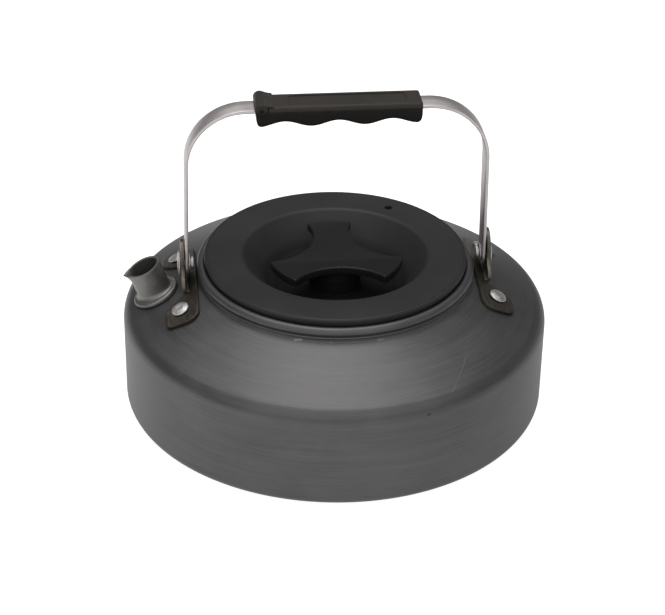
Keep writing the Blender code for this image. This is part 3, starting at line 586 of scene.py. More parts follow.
# bent flat bar
bailSizes = {
    "fromBead": 0.0043,
    "pivotRise": 0.00875,
    "rise": 0.0720,
    "thickness": 0.0015,
    "width": 0.0100,
    "corner": 0.0250,
    "lean": 1.0,
    "edgeRound": 0.00035,
    "tipHalf": 0.0006,        # half of the last width at the rounded ends
}
stripAtPivot = bodySizes["beadReach"] + bailSizes["fromBead"]
pivotHeight = shoulderHeight(stripAtPivot) + bailSizes["pivotRise"]
stripTop = pivotHeight + bailSizes["rise"]
brightSteel = makeSheetMetal(
    "bright steel bar", dark=(0.50, 0.470, 0.462), light=(0.74, 0.700, 0.688), roughness=(0.42, 0.56),
    stretch=(110.0, 2600.0, 110.0), bump=0.10, anisotropic=0.3)


def bailLine():
    # middle line of the bar from the right end over the top to the left end
    lean = math.radians(bailSizes["lean"])
    corner = bailSizes["corner"]
    cornerZ = stripTop - corner
    bendTop = cornerZ + corner * math.sin(lean)
    bendX = stripAtPivot - (bendTop - pivotHeight) * math.tan(lean)
    centreX = bendX - corner * math.cos(lean)
    half = bailSizes["width"] / 2
    # the stations of the rounded end crowd together towards its tip
    heights = [pivotHeight - half * math.cos(math.pi / 2 * step / 24) for step in range(25)]
    heights += [pivotHeight + (bendTop - pivotHeight) * step / 10 for step in range(1, 10)]
    line = [(stripAtPivot - (z - pivotHeight) * math.tan(lean), z, bailSizes["lean"]) for z in heights]
    for step in range(25):
        angle = bailSizes["lean"] + (90 - bailSizes["lean"]) * step / 24
        turn = math.radians(angle)
        line.append((centreX + corner * math.cos(turn), cornerZ + corner * math.sin(turn), angle))
    line += [(centreX * (1 - step / 8), stripTop, 90.0) for step in range(1, 9)]
    return line + [(-x, z, 180.0 - angle) for x, z, angle in reversed(line[:-1])]


def makeBailStrip():
    sizes = bailSizes
    rings = []
    for x, z, angle in bailLine():
        turn = math.radians(angle)
        out = Vector((math.cos(turn), 0.0, math.sin(turn)))
        below = max(0.0, pivotHeight - z)
        half = max(math.sqrt(max(0.0, (sizes["width"] / 2) ** 2 - below ** 2)), sizes["tipHalf"])
        section = oblong(sizes["thickness"], 2 * half, min(sizes["edgeRound"], 0.4 * half), 30.0)
        rings.append([Vector((x, 0.0, z)) + out * u + Vector((0.0, v, 0.0)) for u, v in section])
    strip = loftRings("bail_strip_bar", rings)
    for azimuth in sides.values():
        bore = rivetSizes["pivotShank"] + clearance
        drill = makeDrill("pivot_drill", bore, stripAtPivot - drillReach, stripAtPivot + drillReach, 48)
        placeMesh(drill, alongPivot(azimuth))
        combine(strip, drill)
    shadeRound(strip, 40.0)
    finishPiece(strip, "bail_strip", "bail", brightSteel)


# folded sheet brackets
bracketSizes = {
    "sheet": 0.0014,
    "gapToBead": 0.0002,
    "width": 0.0138,
    "halfLength": 0.0310,
    "innerCorner": 0.0050,
    "outerCorner": 0.0028,
    "endTaper": 0.0012,
    "lobeLength": 0.0115,
    "earHalf": 0.0064,
    "earFootHalf": 0.0120,
    "earFootRise": 0.0060,
    "earAbovePivot": 0.0047,
    "foldRadius": 0.0009,
    "edgeRound": 0.00022,
    "tip": 0.00002,           # keeps the last vertices of a rounded end apart
    "joinReach": 0.0001,      # past the fold's start, where lobe and middle still join
}
earInner = stripAtPivot + bailSizes["thickness"] / 2 + clearance
earOuter = earInner + bracketSizes["sheet"]
bracketInner = bodySizes["beadReach"] + bracketSizes["gapToBead"]
bracketOuter = bracketInner + bracketSizes["width"]
sides = {"left": 180.0, "right": 0.0}
darkSheet = makeSheetMetal(
    "dark steel sheet", dark=(0.085, 0.076, 0.064), light=(0.175, 0.157, 0.134), roughness=(0.34, 0.50),
    stretch=(900.0, 180.0, 900.0), bump=0.12, anisotropic=0.2)


def joinRows(shape, rows):
    for low, high in zip(rows, rows[1:]):
        for index in range(len(low) - 1):
            shape.faces.new((low[index], low[index + 1], high[index + 1], high[index]))


def joinStrips(shape, first, second):
    # triangles between two open runs of vertices that go the same way
    i, j = 0, 0
    while i < len(first) - 1 or j < len(second) - 1:
        nextFirst = first[i + 1].co.x if i < len(first) - 1 else math.inf
        nextSecond = second[j + 1].co.x if j < len(second) - 1 else math.inf
        if nextFirst <= nextSecond:
            shape.faces.new((first[i], first[i + 1], second[j]))
            i += 1
        else:
            shape.faces.new((first[i], second[j + 1], second[j]))
            j += 1


def makeBracket(side, azimuth):
    # one folded sheet: rows run out over the shoulder, then up the ear or out over the lobes
    sizes = bracketSizes
    half = sizes["sheet"] / 2
    lift = (clearance + half) / math.cos(slope)
    foldX = (earInner + earOuter) / 2
    bendAngle = math.pi / 2 + slope
    bendRadius = sizes["foldRadius"] + half
    bendStart = foldX - bendRadius * math.tan(bendAngle / 2)
    earFoot = sizes["earFootHalf"]
    earHalf = sizes["earHalf"]
    centreZ = pivotHeight + sizes["earAbovePivot"]
    outline = roundCorners([
        (foldX, earFoot + half, 0.0),
        (bracketOuter, sizes["halfLength"] - sizes["lobeLength"], sizes["outerCorner"]),
        (bracketOuter, sizes["halfLength"] - sizes["endTaper"], sizes["outerCorner"]),
        (bracketInner, sizes["halfLength"], sizes["innerCorner"]),
        (bracketInner, 0.0, 0.0),
        (foldX, 0.0, 0.0),
    ], 8.0)

    def plateZ(x, y):
        return shoulderHeight(math.hypot(x, y)) + lift

    def limits(y):
        # where a line of equal y enters and leaves the half outline
        crossed = []
        for (x1, y1), (x2, y2) in zip(outline, outline[1:] + outline[:1]):
            if y1 != y2 and min(y1, y2) <= y <= max(y1, y2):
                crossed.append(x1 + (x2 - x1) * (y - y1) / (y2 - y1))
        return min(crossed), max(crossed)

    def earHalfAt(z, footZ):
        if z < footZ + sizes["earFootRise"]:
            share = (z - footZ) / sizes["earFootRise"]
            return earFoot + (earHalf - earFoot) * share * share * (3 - 2 * share)
        if z <= centreZ:
            return earHalf
        return math.sqrt(max(0.0, earHalf ** 2 - (z - centreZ) ** 2))

    across = [earFoot * step / 10 for step in range(-10, 11)]
    plateRows = 6
    rows = []
    for number in range(plateRows + 1):
        x = bracketInner + (bendStart - bracketInner) * number / plateRows
        rows.append([Vector((x, y, plateZ(x, y))) for y in across])
    bendSteps = 8
    for number in range(1, bendSteps + 1):
        angle = bendAngle * number / bendSteps - bendAngle
        x = bendStart + bendRadius * (math.sin(slope) + math.cos(angle))
        up = bendRadius * (math.cos(slope) + math.sin(angle))
        rows.append([Vector((x, y, plateZ(bendStart, y) + up)) for y in across])
    footZ = max(point.z for point in rows[-1])
    heights = [footZ + sizes["earFootRise"] * step / 8 for step in range(1, 9)]
    heights += [heights[-1] + (centreZ - heights[-1]) * step / 5 for step in range(1, 6)]
    crown = earHalf - sizes["tip"]
    heights += [centreZ + crown * math.sin(math.pi / 2 * step / 14) for step in range(1, 15)]
    for z in heights:
        wide = max(10 * sizes["tip"], earHalfAt(z, footZ))
        rows.append([Vector((foldX, y / earFoot * wide, z)) for y in across])
    shape = bmesh.new()
    grid = [[shape.verts.new(point) for point in row] for row in rows]
    joinRows(shape, grid)
    top = max(y for _, y in outline)
    lobeFoot = earFoot + half
    lobeLines = [lobeFoot + (top - lobeFoot) * math.sin(math.pi / 2 * step / 26) for step in range(26)]
    lobeLines.append(top - sizes["tip"])
    lobeRows = 12
    for sign in (1, -1):
        lobe = []
        for y in lobeLines:
            start, stop = limits(y)
            line = [start + (stop - start) * number / lobeRows for number in range(lobeRows + 1)]
            lobe.append([shape.verts.new((x, sign * y, plateZ(x, y))) for x in line])
        joinRows(shape, lobe)
        # a strip of faces joins the lobe to the middle of the plate
        plateEdge = [row[-1 if sign > 0 else 0] for row in grid[:plateRows + 1]]
        near = [vert for vert in lobe[0] if vert.co.x <= bendStart + sizes["joinReach"]]
        joinStrips(shape, plateEdge, near)
    bmesh.ops.recalc_face_normals(shape, faces=shape.faces)
    mesh = bpy.data.meshes.new(f"{side}_bracket_folded")
    shape.to_mesh(mesh)
    shape.free()
    bracket = newObject(f"{side}_bracket_folded", mesh)
    solid = bracket.modifiers.new("sheet", "SOLIDIFY")
    solid.thickness = sizes["sheet"]
    solid.offset = 0.0
    solid.use_even_offset = True
    bakeModifiers(bracket)
    bevelEdges(bracket, sizes["edgeRound"], 2, 60.0)
    placeMesh(bracket, aroundAxis(azimuth))
    shadeRound(bracket, 40.0)
    finishPiece(bracket, f"{side}_bracket", "vessel", darkSheet)
    print(side, "bracket ear top", round(centreZ + earHalf, 5))


# rivets of the brackets and of the pivots
rivetSizes = {
    "spacing": 0.0434,
    "shank": 0.0016,
    "head": 0.0038,
    "headHeight": 0.0015,
    "rim": 0.0005,
    "dimple": 0.0018,
    "dimpleDepth": 0.00022,
    "tail": 0.0029,
    "tailHeight": 0.0010,
    "pivotShank": 0.0020,
    "pivotHead": 0.0053,
    "pivotHeadHeight": 0.0012,
    "pivotRim": 0.0006,
    "pivotTail": 0.0028,
    "pivotTailHeight": 0.0014,
    "washerRadius": 0.0040,
    "washer": 0.0005,
    "segments": 64,
}
rivetLine = (bracketInner + bracketOuter) / 2
rivetFromAxis = math.hypot(rivetLine, rivetSizes["spacing"] / 2)
rivetAngle = math.degrees(math.atan2(rivetSizes["spacing"] / 2, rivetLine))
washerOuter = stripAtPivot - bailSizes["thickness"] / 2 - clearance
washerInner = washerOuter - rivetSizes["washer"]
rivetPlaces = {
    "left_front_rivet": 180.0 + rivetAngle,
    "left_rear_rivet": 180.0 - rivetAngle,
    "right_front_rivet": -rivetAngle,
    "right_rear_rivet": rivetAngle,
}
rivetMetal = makeSheetMetal(
    "rivet aluminium", dark=(0.34, 0.33, 0.32), light=(0.76, 0.75, 0.74), roughness=(0.42, 0.58),
    stretch=(900.0, 900.0, 900.0), bump=0.45)


def domedHead(radius, rim, base, rise, dimple, dimpleDepth):
    # from the middle out: a shallow set mark, then a low dome down to the rim
    ball = (radius ** 2 + rise ** 2) / (2 * rise)
    reach = math.degrees(math.asin(radius / ball))
    top = arcPoints(0.0, base + rim + rise - ball, ball, 90, 90 - reach, 18)
    points = []
    for x, z in top:
        share = max(0.0, 1.0 - (x / dimple) ** 2)
        points.append((x, z - dimpleDepth * share * share * (3 - 2 * share)))
    edge = rim * 0.45
    points = points[:-1]
    points += arcPoints(radius - edge, base + rim - edge, edge, 60, 0, 4)
    points += arcPoints(radius - edge, base + edge, edge, 0, -70, 4)
    return points


def makeBracketRivet(name, azimuth):
    sizes = rivetSizes
    underHead = 2 * clearance + bracketSizes["sheet"]
    underTail = -bodySizes["wall"] - clearance
    profile = domedHead(sizes["head"], sizes["rim"], underHead, sizes["headHeight"] - sizes["rim"],
                        sizes["dimple"], sizes["dimpleDepth"])
    profile += [(sizes["shank"], underHead), (sizes["shank"], underTail)]
    soft = sizes["tailHeight"] * 0.3
    profile += arcPoints(sizes["tail"] - soft, underTail - soft, soft, 90, -90, 6)[:4]
    profile += arcPoints(sizes["tail"] - soft, underTail - sizes["tailHeight"] + soft, soft, 0, -90, 4)
    profile.append((0.0, underTail - sizes["tailHeight"]))
    rivet = turnProfile(f"{name}_set", profile, sizes["segments"])
    placeMesh(rivet, onShoulder(rivetFromAxis, azimuth))
    finishPiece(rivet, name, "vessel", rivetMetal)


def makePivotRivet(side, azimuth):
    sizes = rivetSizes
    underHead = earOuter + clearance
    underTail = washerInner - clearance
    end = underTail - sizes["pivotTailHeight"]
    profile = domedHead(sizes["pivotHead"], sizes["pivotRim"], underHead,
                        sizes["pivotHeadHeight"] - sizes["pivotRim"], sizes["dimple"], sizes["dimpleDepth"])
    profile += [(sizes["pivotShank"], underHead), (sizes["pivotShank"], underTail)]
    soft = sizes["pivotRim"]
    profile += arcPoints(sizes["pivotTail"] - soft / 3, underTail - soft / 3, soft / 3, 90, 0, 3)
    profile += arcPoints(sizes["pivotTail"] - soft, end + soft, soft, 0, -90, 6)
    profile += [(sizes["pivotTail"] * 0.34, end), (sizes["pivotTail"] * 0.2, end + soft / 2)]
    profile.append((0.0, end + soft * 0.7))
    rivet = turnProfile(f"{side}_pivot_rivet_set", profile, sizes["segments"])
    placeMesh(rivet, alongPivot(azimuth))
    finishPiece(rivet, f"{side}_pivot_rivet", "vessel", rivetMetal)


def makePivotWasher(side, azimuth):
    sizes = rivetSizes
    bore = sizes["pivotShank"] + clearance
    profile = washerProfile(bore, sizes["washerRadius"], washerInner, washerOuter, 0.3 * sizes["washer"])
    washer = turnProfile(f"{side}_pivot_washer_flat", profile, sizes["segments"], closed=True)
    placeMesh(washer, alongPivot(azimuth))
    finishPiece(washer, f"{side}_pivot_washer", "vessel", brightSteel)


# short pouring tube
spoutSizes = {
    "gapToEar": 0.0014,
    "lean": 21.0,
    "radius": 0.0073,
    "wall": 0.0010,
    "length": 0.0148,
    "mouthTilt": 4.0,
    "beakReach": 0.0024,
    "beakSpread": 40.0,
    "beakDepth": 0.0050,
    "beakSharpness": 1.4,
    "plainDrops": (0.0095, 0.0065),   # stations below the mouth
    "softEdge": 0.00025,
    "collarRadius": 0.0102,
    "collarHeight": 0.0021,   # thin at its rim, then a hollow rise to the tube
    "collarEdge": 0.0010,
    "flareRise": 0.0019,
    "gap": 0.0003,
    "crimpReach": 0.0018,
    "crimpDepth": 0.0012,
    "insideFoot": 0.0010,     # lowest ring of the inside
    "segments": 96,
}
spoutFootRadius = earOuter + spoutSizes["gapToEar"] + spoutSizes["collarRadius"] * math.cos(slope)
spoutMetal = makeAnodised("spout aluminium", {
    "dark": (0.160, 0.157, 0.148),
    "light": (0.240, 0.236, 0.223),
    "worn": (0.44, 0.44, 0.43),
    "roughness": (0.36, 0.50),
    "grainAcross": 1200.0,
    "grainAlong": 40.0,
    "patchScale": 34.0,
    "wear": 0.5,
    "metallic": 0.80,
    "anisotropic": 0.35,
    "bump": 0.08,
}, axisTurned=False)


def spoutPlace():
    foot = Vector((spoutFootRadius, 0.0, shoulderHeight(spoutFootRadius)))
    lean = Matrix.Rotation(math.radians(spoutSizes["lean"]), 4, "Y")
    return aroundAxis(180.0) @ Matrix.Translation(foot) @ lean


def makeSpout():
    sizes = spoutSizes
    count = sizes["segments"]
    toShoulder = math.radians(bodySizes["shoulderSlope"] - sizes["lean"])
    outside = sizes["radius"]
    inside = sizes["radius"] - sizes["wall"]

    def ring(radius, height, tilt=0.0, beak=0.0):
        # a circle across the tube, tipped by tilt and drawn out to the beak
        points = []
        for index in range(count):
            angle = math.tau * index / count
            offset = math.atan2(math.sin(angle), math.cos(angle))
            share = max(0.0, 1.0 - abs(offset) / math.radians(sizes["beakSpread"]))
            reach = radius + sizes["beakReach"] * beak * share ** sizes["beakSharpness"]
            x = reach * math.cos(angle)
            points.append(Vector((x, reach * math.sin(angle), height - x * math.tan(tilt))))
        return points

    def topRing(radius, drop):
        height = sizes["length"] - drop
        share = max(0.0, 1.0 - drop / sizes["beakDepth"])
        return ring(radius, height, math.radians(sizes["mouthTilt"]) * share, share ** 2)

    low = -(bodySizes["wall"] + clearance)
    crimpLow = low - sizes["crimpDepth"]
    crimpX = outside + sizes["crimpReach"]
    soft = sizes["softEdge"]
    gap = sizes["gap"]
    collar = sizes["collarRadius"]
    edge = sizes["collarEdge"]
    top = sizes["collarHeight"]
    foot = [(inside, crimpLow), (crimpX - soft, crimpLow), (crimpX, crimpLow + soft), (crimpX, low - soft)]
    foot += [(crimpX - soft, low), (outside + soft, low), (outside, low + soft), (outside, gap - soft)]
    foot += [(outside + soft, gap), (collar - soft, gap), (collar, gap + soft)]
    foot += arcPoints(collar - edge, top - edge, edge, 0, 90, 8)
    rings = [ring(x, z, toShoulder) for x, z in foot]
    # hollow flare from the collar up into the tube
    flareReach = collar - edge - outside
    steps = 8
    for step in range(steps + 1):
        turn = math.radians(90.0 * step / steps)
        x = outside + flareReach * (1 - math.sin(turn))
        z = top + sizes["flareRise"] * (1 - math.cos(turn))
        rings.append(ring(x, z, toShoulder * (1 - step / steps)))
    drops = list(sizes["plainDrops"]) + [sizes["beakDepth"] * (1 - step / 10) for step in range(10)]
    rings += [topRing(outside, drop) for drop in drops]
    # rounded lip: each ring by its radius and the turn that sets its height
    lip = sizes["wall"] / 2
    lipRings = [(outside, 0), (outside - lip * 0.15, 45), (outside - lip * 0.5, 80)]
    lipRings += [(outside - lip * 1.5, 80), (inside + lip * 0.15, 45), (inside, 0)]
    rings += [topRing(x, lip * 0.4 * (1 - math.sin(math.radians(turn)))) for x, turn in lipRings]
    rings += [topRing(inside, drop) for drop in reversed(drops[2:])]
    rings += [topRing(inside, drop) for drop in reversed(sizes["plainDrops"])]
    rings.append(ring(inside, sizes["insideFoot"], toShoulder))
    spout = loftRings("spout_tube", rings, loop=True)
    placeMesh(spout, spoutPlace())
    finishPiece(spout, "spout", "vessel", spoutMetal)


# hand grip
gripSizes = {
    "length": 0.0692,
    "width": 0.0140,
    "aboveStrip": 0.0028,
    "seamRise": 0.0006,
    "hollowDrop": 0.0047,
    "crestDrop": 0.0070,
    "pitch": 0.0222,
    "edge": 0.0030,
    "coverEdge": 0.0015,
    "coverGap": 0.0001,
    "cornerRound": 0.0024,
    "endRound": 0.0010,
    "endInset": 0.0008,       # the knuckle stands out from the left end
    "webAngle": 58.0,
    "webLength": 0.0024,
    "webHollow": 1.7,         # 1 would be a straight slope
    "knuckleRise": 0.0015,
    "knuckleRadius": 0.0027,
    "knuckleWidth": 0.0148,
    "knuckleBore": 0.0009,
    "knuckleEdge": 0.0004,
    "knuckleDimple": 0.0007,
    "channelRun": 0.0120,     # the strip's channel past both ends together
    "leastFlat": 0.0005,
    "recessLength": 0.0485,
    "recessWidth": 0.0085,
    "recessDepth": 0.0004,
    "recessCorner": 0.0017,
    "recessShift": 0.0040,
}
# painted shade: the grip base has a darker colour than the cover and darkens further towards its bottom,
# standing in for the shade on its front faces
shadedGripPlastic = makePlastic(
    "grip plastic", dark=(0.0330, 0.0298, 0.0266), light=(0.0480, 0.0434, 0.0388), roughness=(0.38, 0.50),
    grainScale=1800.0, bump=0.14, specular=0.12,
    paintedShadeSpan=(stripTop + 0.0001, stripTop + 0.0021), paintedShadeShare=0.48)
litCoverPlastic = makePlastic(
    "cover plastic", dark=(0.0360, 0.0322, 0.0288), light=(0.0520, 0.0466, 0.0416), roughness=(0.38, 0.50),
    grainScale=1800.0, bump=0.14, specular=0.12)


def makeChannel(name):
    outline = oblong(gripSizes["length"] + gripSizes["channelRun"], bailSizes["width"] + 2 * clearance)
    channel = flatPrism(name, outline, bailSizes["thickness"] + 2 * clearance)
    return placeMesh(channel, Matrix.Translation((0.0, 0.0, stripTop)))


def makeGripBase():
    sizes = gripSizes
    half = sizes["length"] / 2
    seam = stripTop + sizes["seamRise"]
    hollow = stripTop - sizes["hollowDrop"]
    crest = stripTop - sizes["crestDrop"]
    middle = (hollow + crest) / 2
    swing = (hollow - crest) / 2
    endRound = sizes["endRound"]
    corner = sizes["cornerRound"]
    left = -half + sizes["endInset"]
    inner = half - corner
    innerLeft = left + corner
    ends = [corner * math.cos(math.radians(turn)) for turn in range(0, 91, 6)]
    count = 90
    stations = [innerLeft - reach for reach in ends]
    stations += [innerLeft + (inner - innerLeft) * step / count for step in range(1, count)]
    stations += [inner + reach for reach in reversed(ends)]
    rings = []
    for x in stations:
        into = max(0.0, x - inner, innerLeft - x)
        lift = corner - math.sqrt(max(0.0, corner ** 2 - into ** 2))
        low = middle + swing * math.cos(math.tau * x / sizes["pitch"]) + lift
        nearEnd = max(0.0, into - corner + endRound)
        shrink = endRound - math.sqrt(max(0.0, endRound ** 2 - nearEnd ** 2))
        wide = sizes["width"] / 2 - shrink
        edge = min(sizes["edge"], wide - sizes["leastFlat"])
        section = [(wide, seam), (-wide, seam)]
        section += arcPoints(-wide + edge, low + edge, edge, 180, 270, 8)
        section += arcPoints(wide - edge, low + edge, edge, 270, 360, 8)
        rings.append([Vector((x, y, z)) for y, z in section])
    base = loftRings("grip_base_moulded", rings)
    knuckleX = -half + sizes["knuckleRadius"]
    wide = sizes["knuckleWidth"] / 2
    soft = sizes["knuckleEdge"]
    bore = sizes["knuckleBore"]
    deep = sizes["knuckleDimple"]
    profile = [(0.0, wide - deep), (bore, wide - deep), (bore, wide)]
    profile += arcPoints(sizes["knuckleRadius"] - soft, wide - soft, soft, 90, 0, 4)
    profile += arcPoints(sizes["knuckleRadius"] - soft, -wide + soft, soft, 0, -90, 4)
    profile += [(bore, -wide), (bore, -wide + deep), (0.0, -wide + deep)]
    knuckle = turnProfile("grip_knuckle", profile, 64)
    knuckleZ = stripTop + sizes["knuckleRise"]
    placeMesh(knuckle, Matrix.Translation((knuckleX, 0.0, knuckleZ)) @ Matrix.Rotation(math.pi / 2, 4, "X"))
    combine(base, knuckle, "UNION")
    combine(base, makeKnuckleWeb(knuckleX, knuckleZ), "UNION")
    combine(base, makeChannel("grip_base_channel"))
    shadeRound(base, 34.0)
    finishPiece(base, "grip_base", "bail", shadedGripPlastic)


def makeKnuckleWeb(knuckleX, knuckleZ):
    # hollow slope from the knuckle down onto the start of the cover
    sizes = gripSizes
    foot = stripTop + sizes["aboveStrip"] + sizes["coverGap"]
    radius = sizes["knuckleRadius"]
    lowX = knuckleX + math.sqrt(radius ** 2 - (foot - knuckleZ) ** 2)
    highX, highZ = arcPoints(knuckleX, knuckleZ, radius, sizes["webAngle"], sizes["webAngle"], 1)[0]
    run = knuckleX + radius + sizes["webLength"] - highX
    outline = [(knuckleX, knuckleZ), (lowX, foot)]
    for step in range(16, -1, -1):
        share = step / 16
        rise = (highZ - foot) * (1 - share) ** sizes["webHollow"]
        outline.append((highX + run * share, foot + sizes["coverGap"] + rise))
    web = flatPrism("grip_web", outline, sizes["width"])
    return placeMesh(web, Matrix.Rotation(math.pi / 2, 4, "X"))


def makeGripCover():
    sizes = gripSizes
    low = stripTop + sizes["seamRise"] + sizes["coverGap"]
    high = stripTop + sizes["aboveStrip"]
    start = -sizes["length"] / 2 + 2 * sizes["knuckleRadius"] + clearance
    endRound = sizes["endRound"]
    inner = sizes["length"] / 2 - endRound
    stations = [start + (inner - start) * step / 40 for step in range(40)]
    stations += [inner + endRound * math.sin(math.radians(turn)) for turn in range(0, 91, 15)]
    rings = []
    for x in stations:
        into = max(0.0, x - inner)
        shrink = endRound - math.sqrt(max(0.0, endRound ** 2 - into ** 2))
        wide = sizes["width"] / 2 - shrink
        edge = min(sizes["coverEdge"], 0.8 * (high - shrink - low))
        centre = high - shrink - edge
        section = [(-wide, low), (wide, low)]
        section += arcPoints(wide - edge, centre, edge, 0, 90, 8)
        section += arcPoints(-wide + edge, centre, edge, 90, 180, 8)
        rings.append([Vector((x, y, z)) for y, z in section])
    cover = loftRings("grip_cover_moulded", rings)
    outline = oblong(sizes["recessLength"], sizes["recessWidth"], sizes["recessCorner"], 15.0)
    recess = flatPrism("grip_recess", outline, 2 * sizes["recessDepth"])
    placeMesh(recess, Matrix.Translation((sizes["recessShift"], 0.0, high)))
    combine(cover, recess)
    combine(cover, makeChannel("grip_cover_channel"))
    shadeRound(cover, 34.0)
    finishPiece(cover, "grip_cover", "bail", litCoverPlastic)


# lid, seal and knob
lidSizes = {
    "proud": 0.0030,
    "inset": 0.0010,
    "wall": 0.0020,
    "edge": 0.0012,
    "edgeRound": 0.0006,
    "rimRound": 0.0009,
    "grooveWidth": 0.0007,
    "grooveDepth": 0.00016,
    "plugDepth": 0.0085,
    "plugWall": 0.0018,
    "plugEdge": 0.0004,
    "sealHeight": 0.0030,
    "sealGroove": 0.0014,
    "sealDrop": 0.0042,
    "sealEdge": 0.0003,
    "rimStations": (0.046, 0.051),
    "bowlRadius": 0.0413,
    "bowlLip": 0.0030,
    "bowlDepth": 0.0160,
    "bowlSlope": 50.0,
    "bowlSweep": 0.0120,
    "ventRadius": 0.0018,
    "ventFromBowl": 0.0062,
    "ventAngle": 54.2,
    "segments": 256,
}
knobSizes = {
    "arms": 3,
    "firstArm": 90.0,
    "fingerGap": 0.0124,
    "armHalfAngle": 19.6,
    "waist": 0.0125,
    "plate": 0.0036,
    "topDrop": 0.0004,
    "undercut": 0.0014,
    "footSpread": 0.0006,
    "footRise": 0.0008,
    "edgeRound": 0.0006,
    "screwShank": 0.0020,
    "screwLength": 0.0100,
    "screwHead": 0.0038,
    "screwHeadHeight": 0.0018,
    "screwEdge": 0.0006,
    "plainNeck": 0.0030,
    "threadPitch": 0.0008,
    "threadDepth": 0.00025,
    "slotWidth": 0.0009,
    "slotDepth": 0.0008,
    "washerRadius": 0.0060,
    "washer": 0.0008,
}
lidTop = beadZ + bodySizes["beadRadius"] + lidSizes["proud"]
lidRadius = beadX - lidSizes["inset"]
seatX = lidRadius - lidSizes["edgeRound"]
seatZ = beadZ + math.sqrt((bodySizes["beadRadius"] + clearance) ** 2 - (beadX - seatX) ** 2)
bowlFloor = lidTop - lidSizes["bowlDepth"]
knobTop = lidTop - knobSizes["topDrop"]
# painted shade: the lid's colour darkens down into the bowl, standing in for the shade there
lidPlastic = makePlastic(
    "lid plastic", dark=(0.0235, 0.0220, 0.0224), light=(0.0335, 0.0315, 0.0320), roughness=(0.46, 0.58),
    grainScale=2400.0, bump=0.16, paintedShadeSpan=(bowlFloor + 0.001, 0.55 * bowlFloor + 0.45 * lidTop))
# painted shade: the knob's stem darkens near the bowl floor, standing in for the shade under the plate
knobPlastic = makePlastic(
    "knob plastic", dark=(0.0106, 0.0099, 0.0100), light=(0.0158, 0.0148, 0.0149), roughness=(0.24, 0.34),
    grainScale=2000.0, bump=0.08, specular=0.26,
    paintedShadeSpan=(bowlFloor + 0.004, bowlFloor + 0.007), paintedShadeShare=0.3)
sealRubber = makePlastic(
    "seal rubber", dark=(0.010, 0.010, 0.010), light=(0.018, 0.018, 0.018), roughness=(0.55, 0.70),
    grainScale=1500.0, bump=0.20)
screwSteel = makeSheetMetal(
    "plated screw steel", dark=(0.46, 0.455, 0.45), light=(0.66, 0.655, 0.65), roughness=(0.22, 0.34),
    stretch=(500.0, 500.0, 900.0), bump=0.12)


def bowlLine(offset, steps=8):
    # from the rim down to the floor; offset gives the outside of the wall
    sizes = lidSizes
    lip = sizes["bowlLip"]
    sweep = sizes["bowlSweep"]
    turn = math.radians(sizes["bowlSlope"])
    straightDrop = sizes["bowlDepth"] - (lip + sweep) * (1 - math.cos(turn))
    floorX = sizes["bowlRadius"] - straightDrop / math.tan(turn) - (lip + sweep) * math.sin(turn)
    line = arcPoints(sizes["bowlRadius"], lidTop - lip, lip - offset, 90, 90 + sizes["bowlSlope"], steps)
    bottom = arcPoints(floorX, bowlFloor + sweep, sweep + offset, 270 + sizes["bowlSlope"], 270, steps + 4)
    x1, z1 = line[-1]
    x2, z2 = bottom[0]
    line += [(x1 + (x2 - x1) * step / 4, z1 + (z2 - z1) * step / 4) for step in range(1, 4)]
    return line + bottom


def makeLidDish():
    sizes = lidSizes
    bore = knobSizes["screwShank"] + clearance
    plugRadius = neckRadius - 3 * clearance
    plugBottom = seatZ - sizes["plugDepth"]
    edge = sizes["plugEdge"]
    sealTop = seatZ - sizes["sealDrop"]
    sealX = plugRadius - sizes["sealGroove"]
    profile = [(bore, bowlFloor)]
    profile += reversed(bowlLine(0.0))
    profile += [(radius, lidTop) for radius in sizes["rimStations"]]
    # fine line pressed in just inside the rim
    lineX = seatX - sizes["grooveWidth"]
    half = sizes["grooveWidth"] / 2
    lineZ = lidTop - sizes["grooveDepth"]
    profile += [(lineX - half, lidTop), (lineX - half / 2, lineZ)]
    profile += [(lineX + half / 2, lineZ), (lineX + half, lidTop)]
    rim = sizes["rimRound"]
    profile += arcPoints(lidRadius - rim, lidTop - rim, rim, 90, 0, 8)
    profile += [(lidRadius, lidTop - sizes["edge"]), (seatX, seatZ), (plugRadius, seatZ)]
    profile += [(plugRadius, sealTop), (sealX, sealTop), (sealX, sealTop - sizes["sealHeight"])]
    profile += [(plugRadius, sealTop - sizes["sealHeight"]), (plugRadius, plugBottom + edge)]
    innerX = sealX - sizes["plugWall"]
    profile += [(plugRadius - edge, plugBottom), (innerX + edge, plugBottom), (innerX, plugBottom + edge)]
    profile.append((innerX, lidTop - sizes["wall"]))
    profile += bowlLine(sizes["wall"])
    profile.append((bore, bowlFloor - sizes["wall"]))
    lid = turnProfile("lid_dish_moulded", profile, sizes["segments"], closed=True)
    reach = sizes["wall"] + drillReach
    vent = makeDrill("vent_drill", sizes["ventRadius"], -reach, reach, 32)
    away = sizes["bowlRadius"] + sizes["ventFromBowl"]
    angle = math.radians(sizes["ventAngle"])
    placeMesh(vent, Matrix.Translation((away * math.cos(angle), away * math.sin(angle), lidTop)))
    combine(lid, vent)
    shadeRound(lid, 34.0)
    finishPiece(lid, "lid_dish", "lid", lidPlastic)


def makeLidSeal():
    sizes = lidSizes
    outer = neckRadius - clearance
    inner = neckRadius - 2 * clearance - sizes["sealGroove"]
    top = seatZ - sizes["sealDrop"] - clearance
    bottom = seatZ - sizes["sealDrop"] - sizes["sealHeight"] + clearance
    shelf = (outer + inner) / 2
    edge = sizes["sealEdge"]
    profile = [(inner, top), (shelf, top)]
    profile += arcPoints(outer - edge, (top + bottom) / 2, edge, 60, -60, 6)
    profile += [(shelf, bottom), (inner, bottom)]
    seal = turnProfile("lid_seal_lip", profile, sizes["segments"], closed=True)
    finishPiece(seal, "lid_seal", "lid", sealRubber)


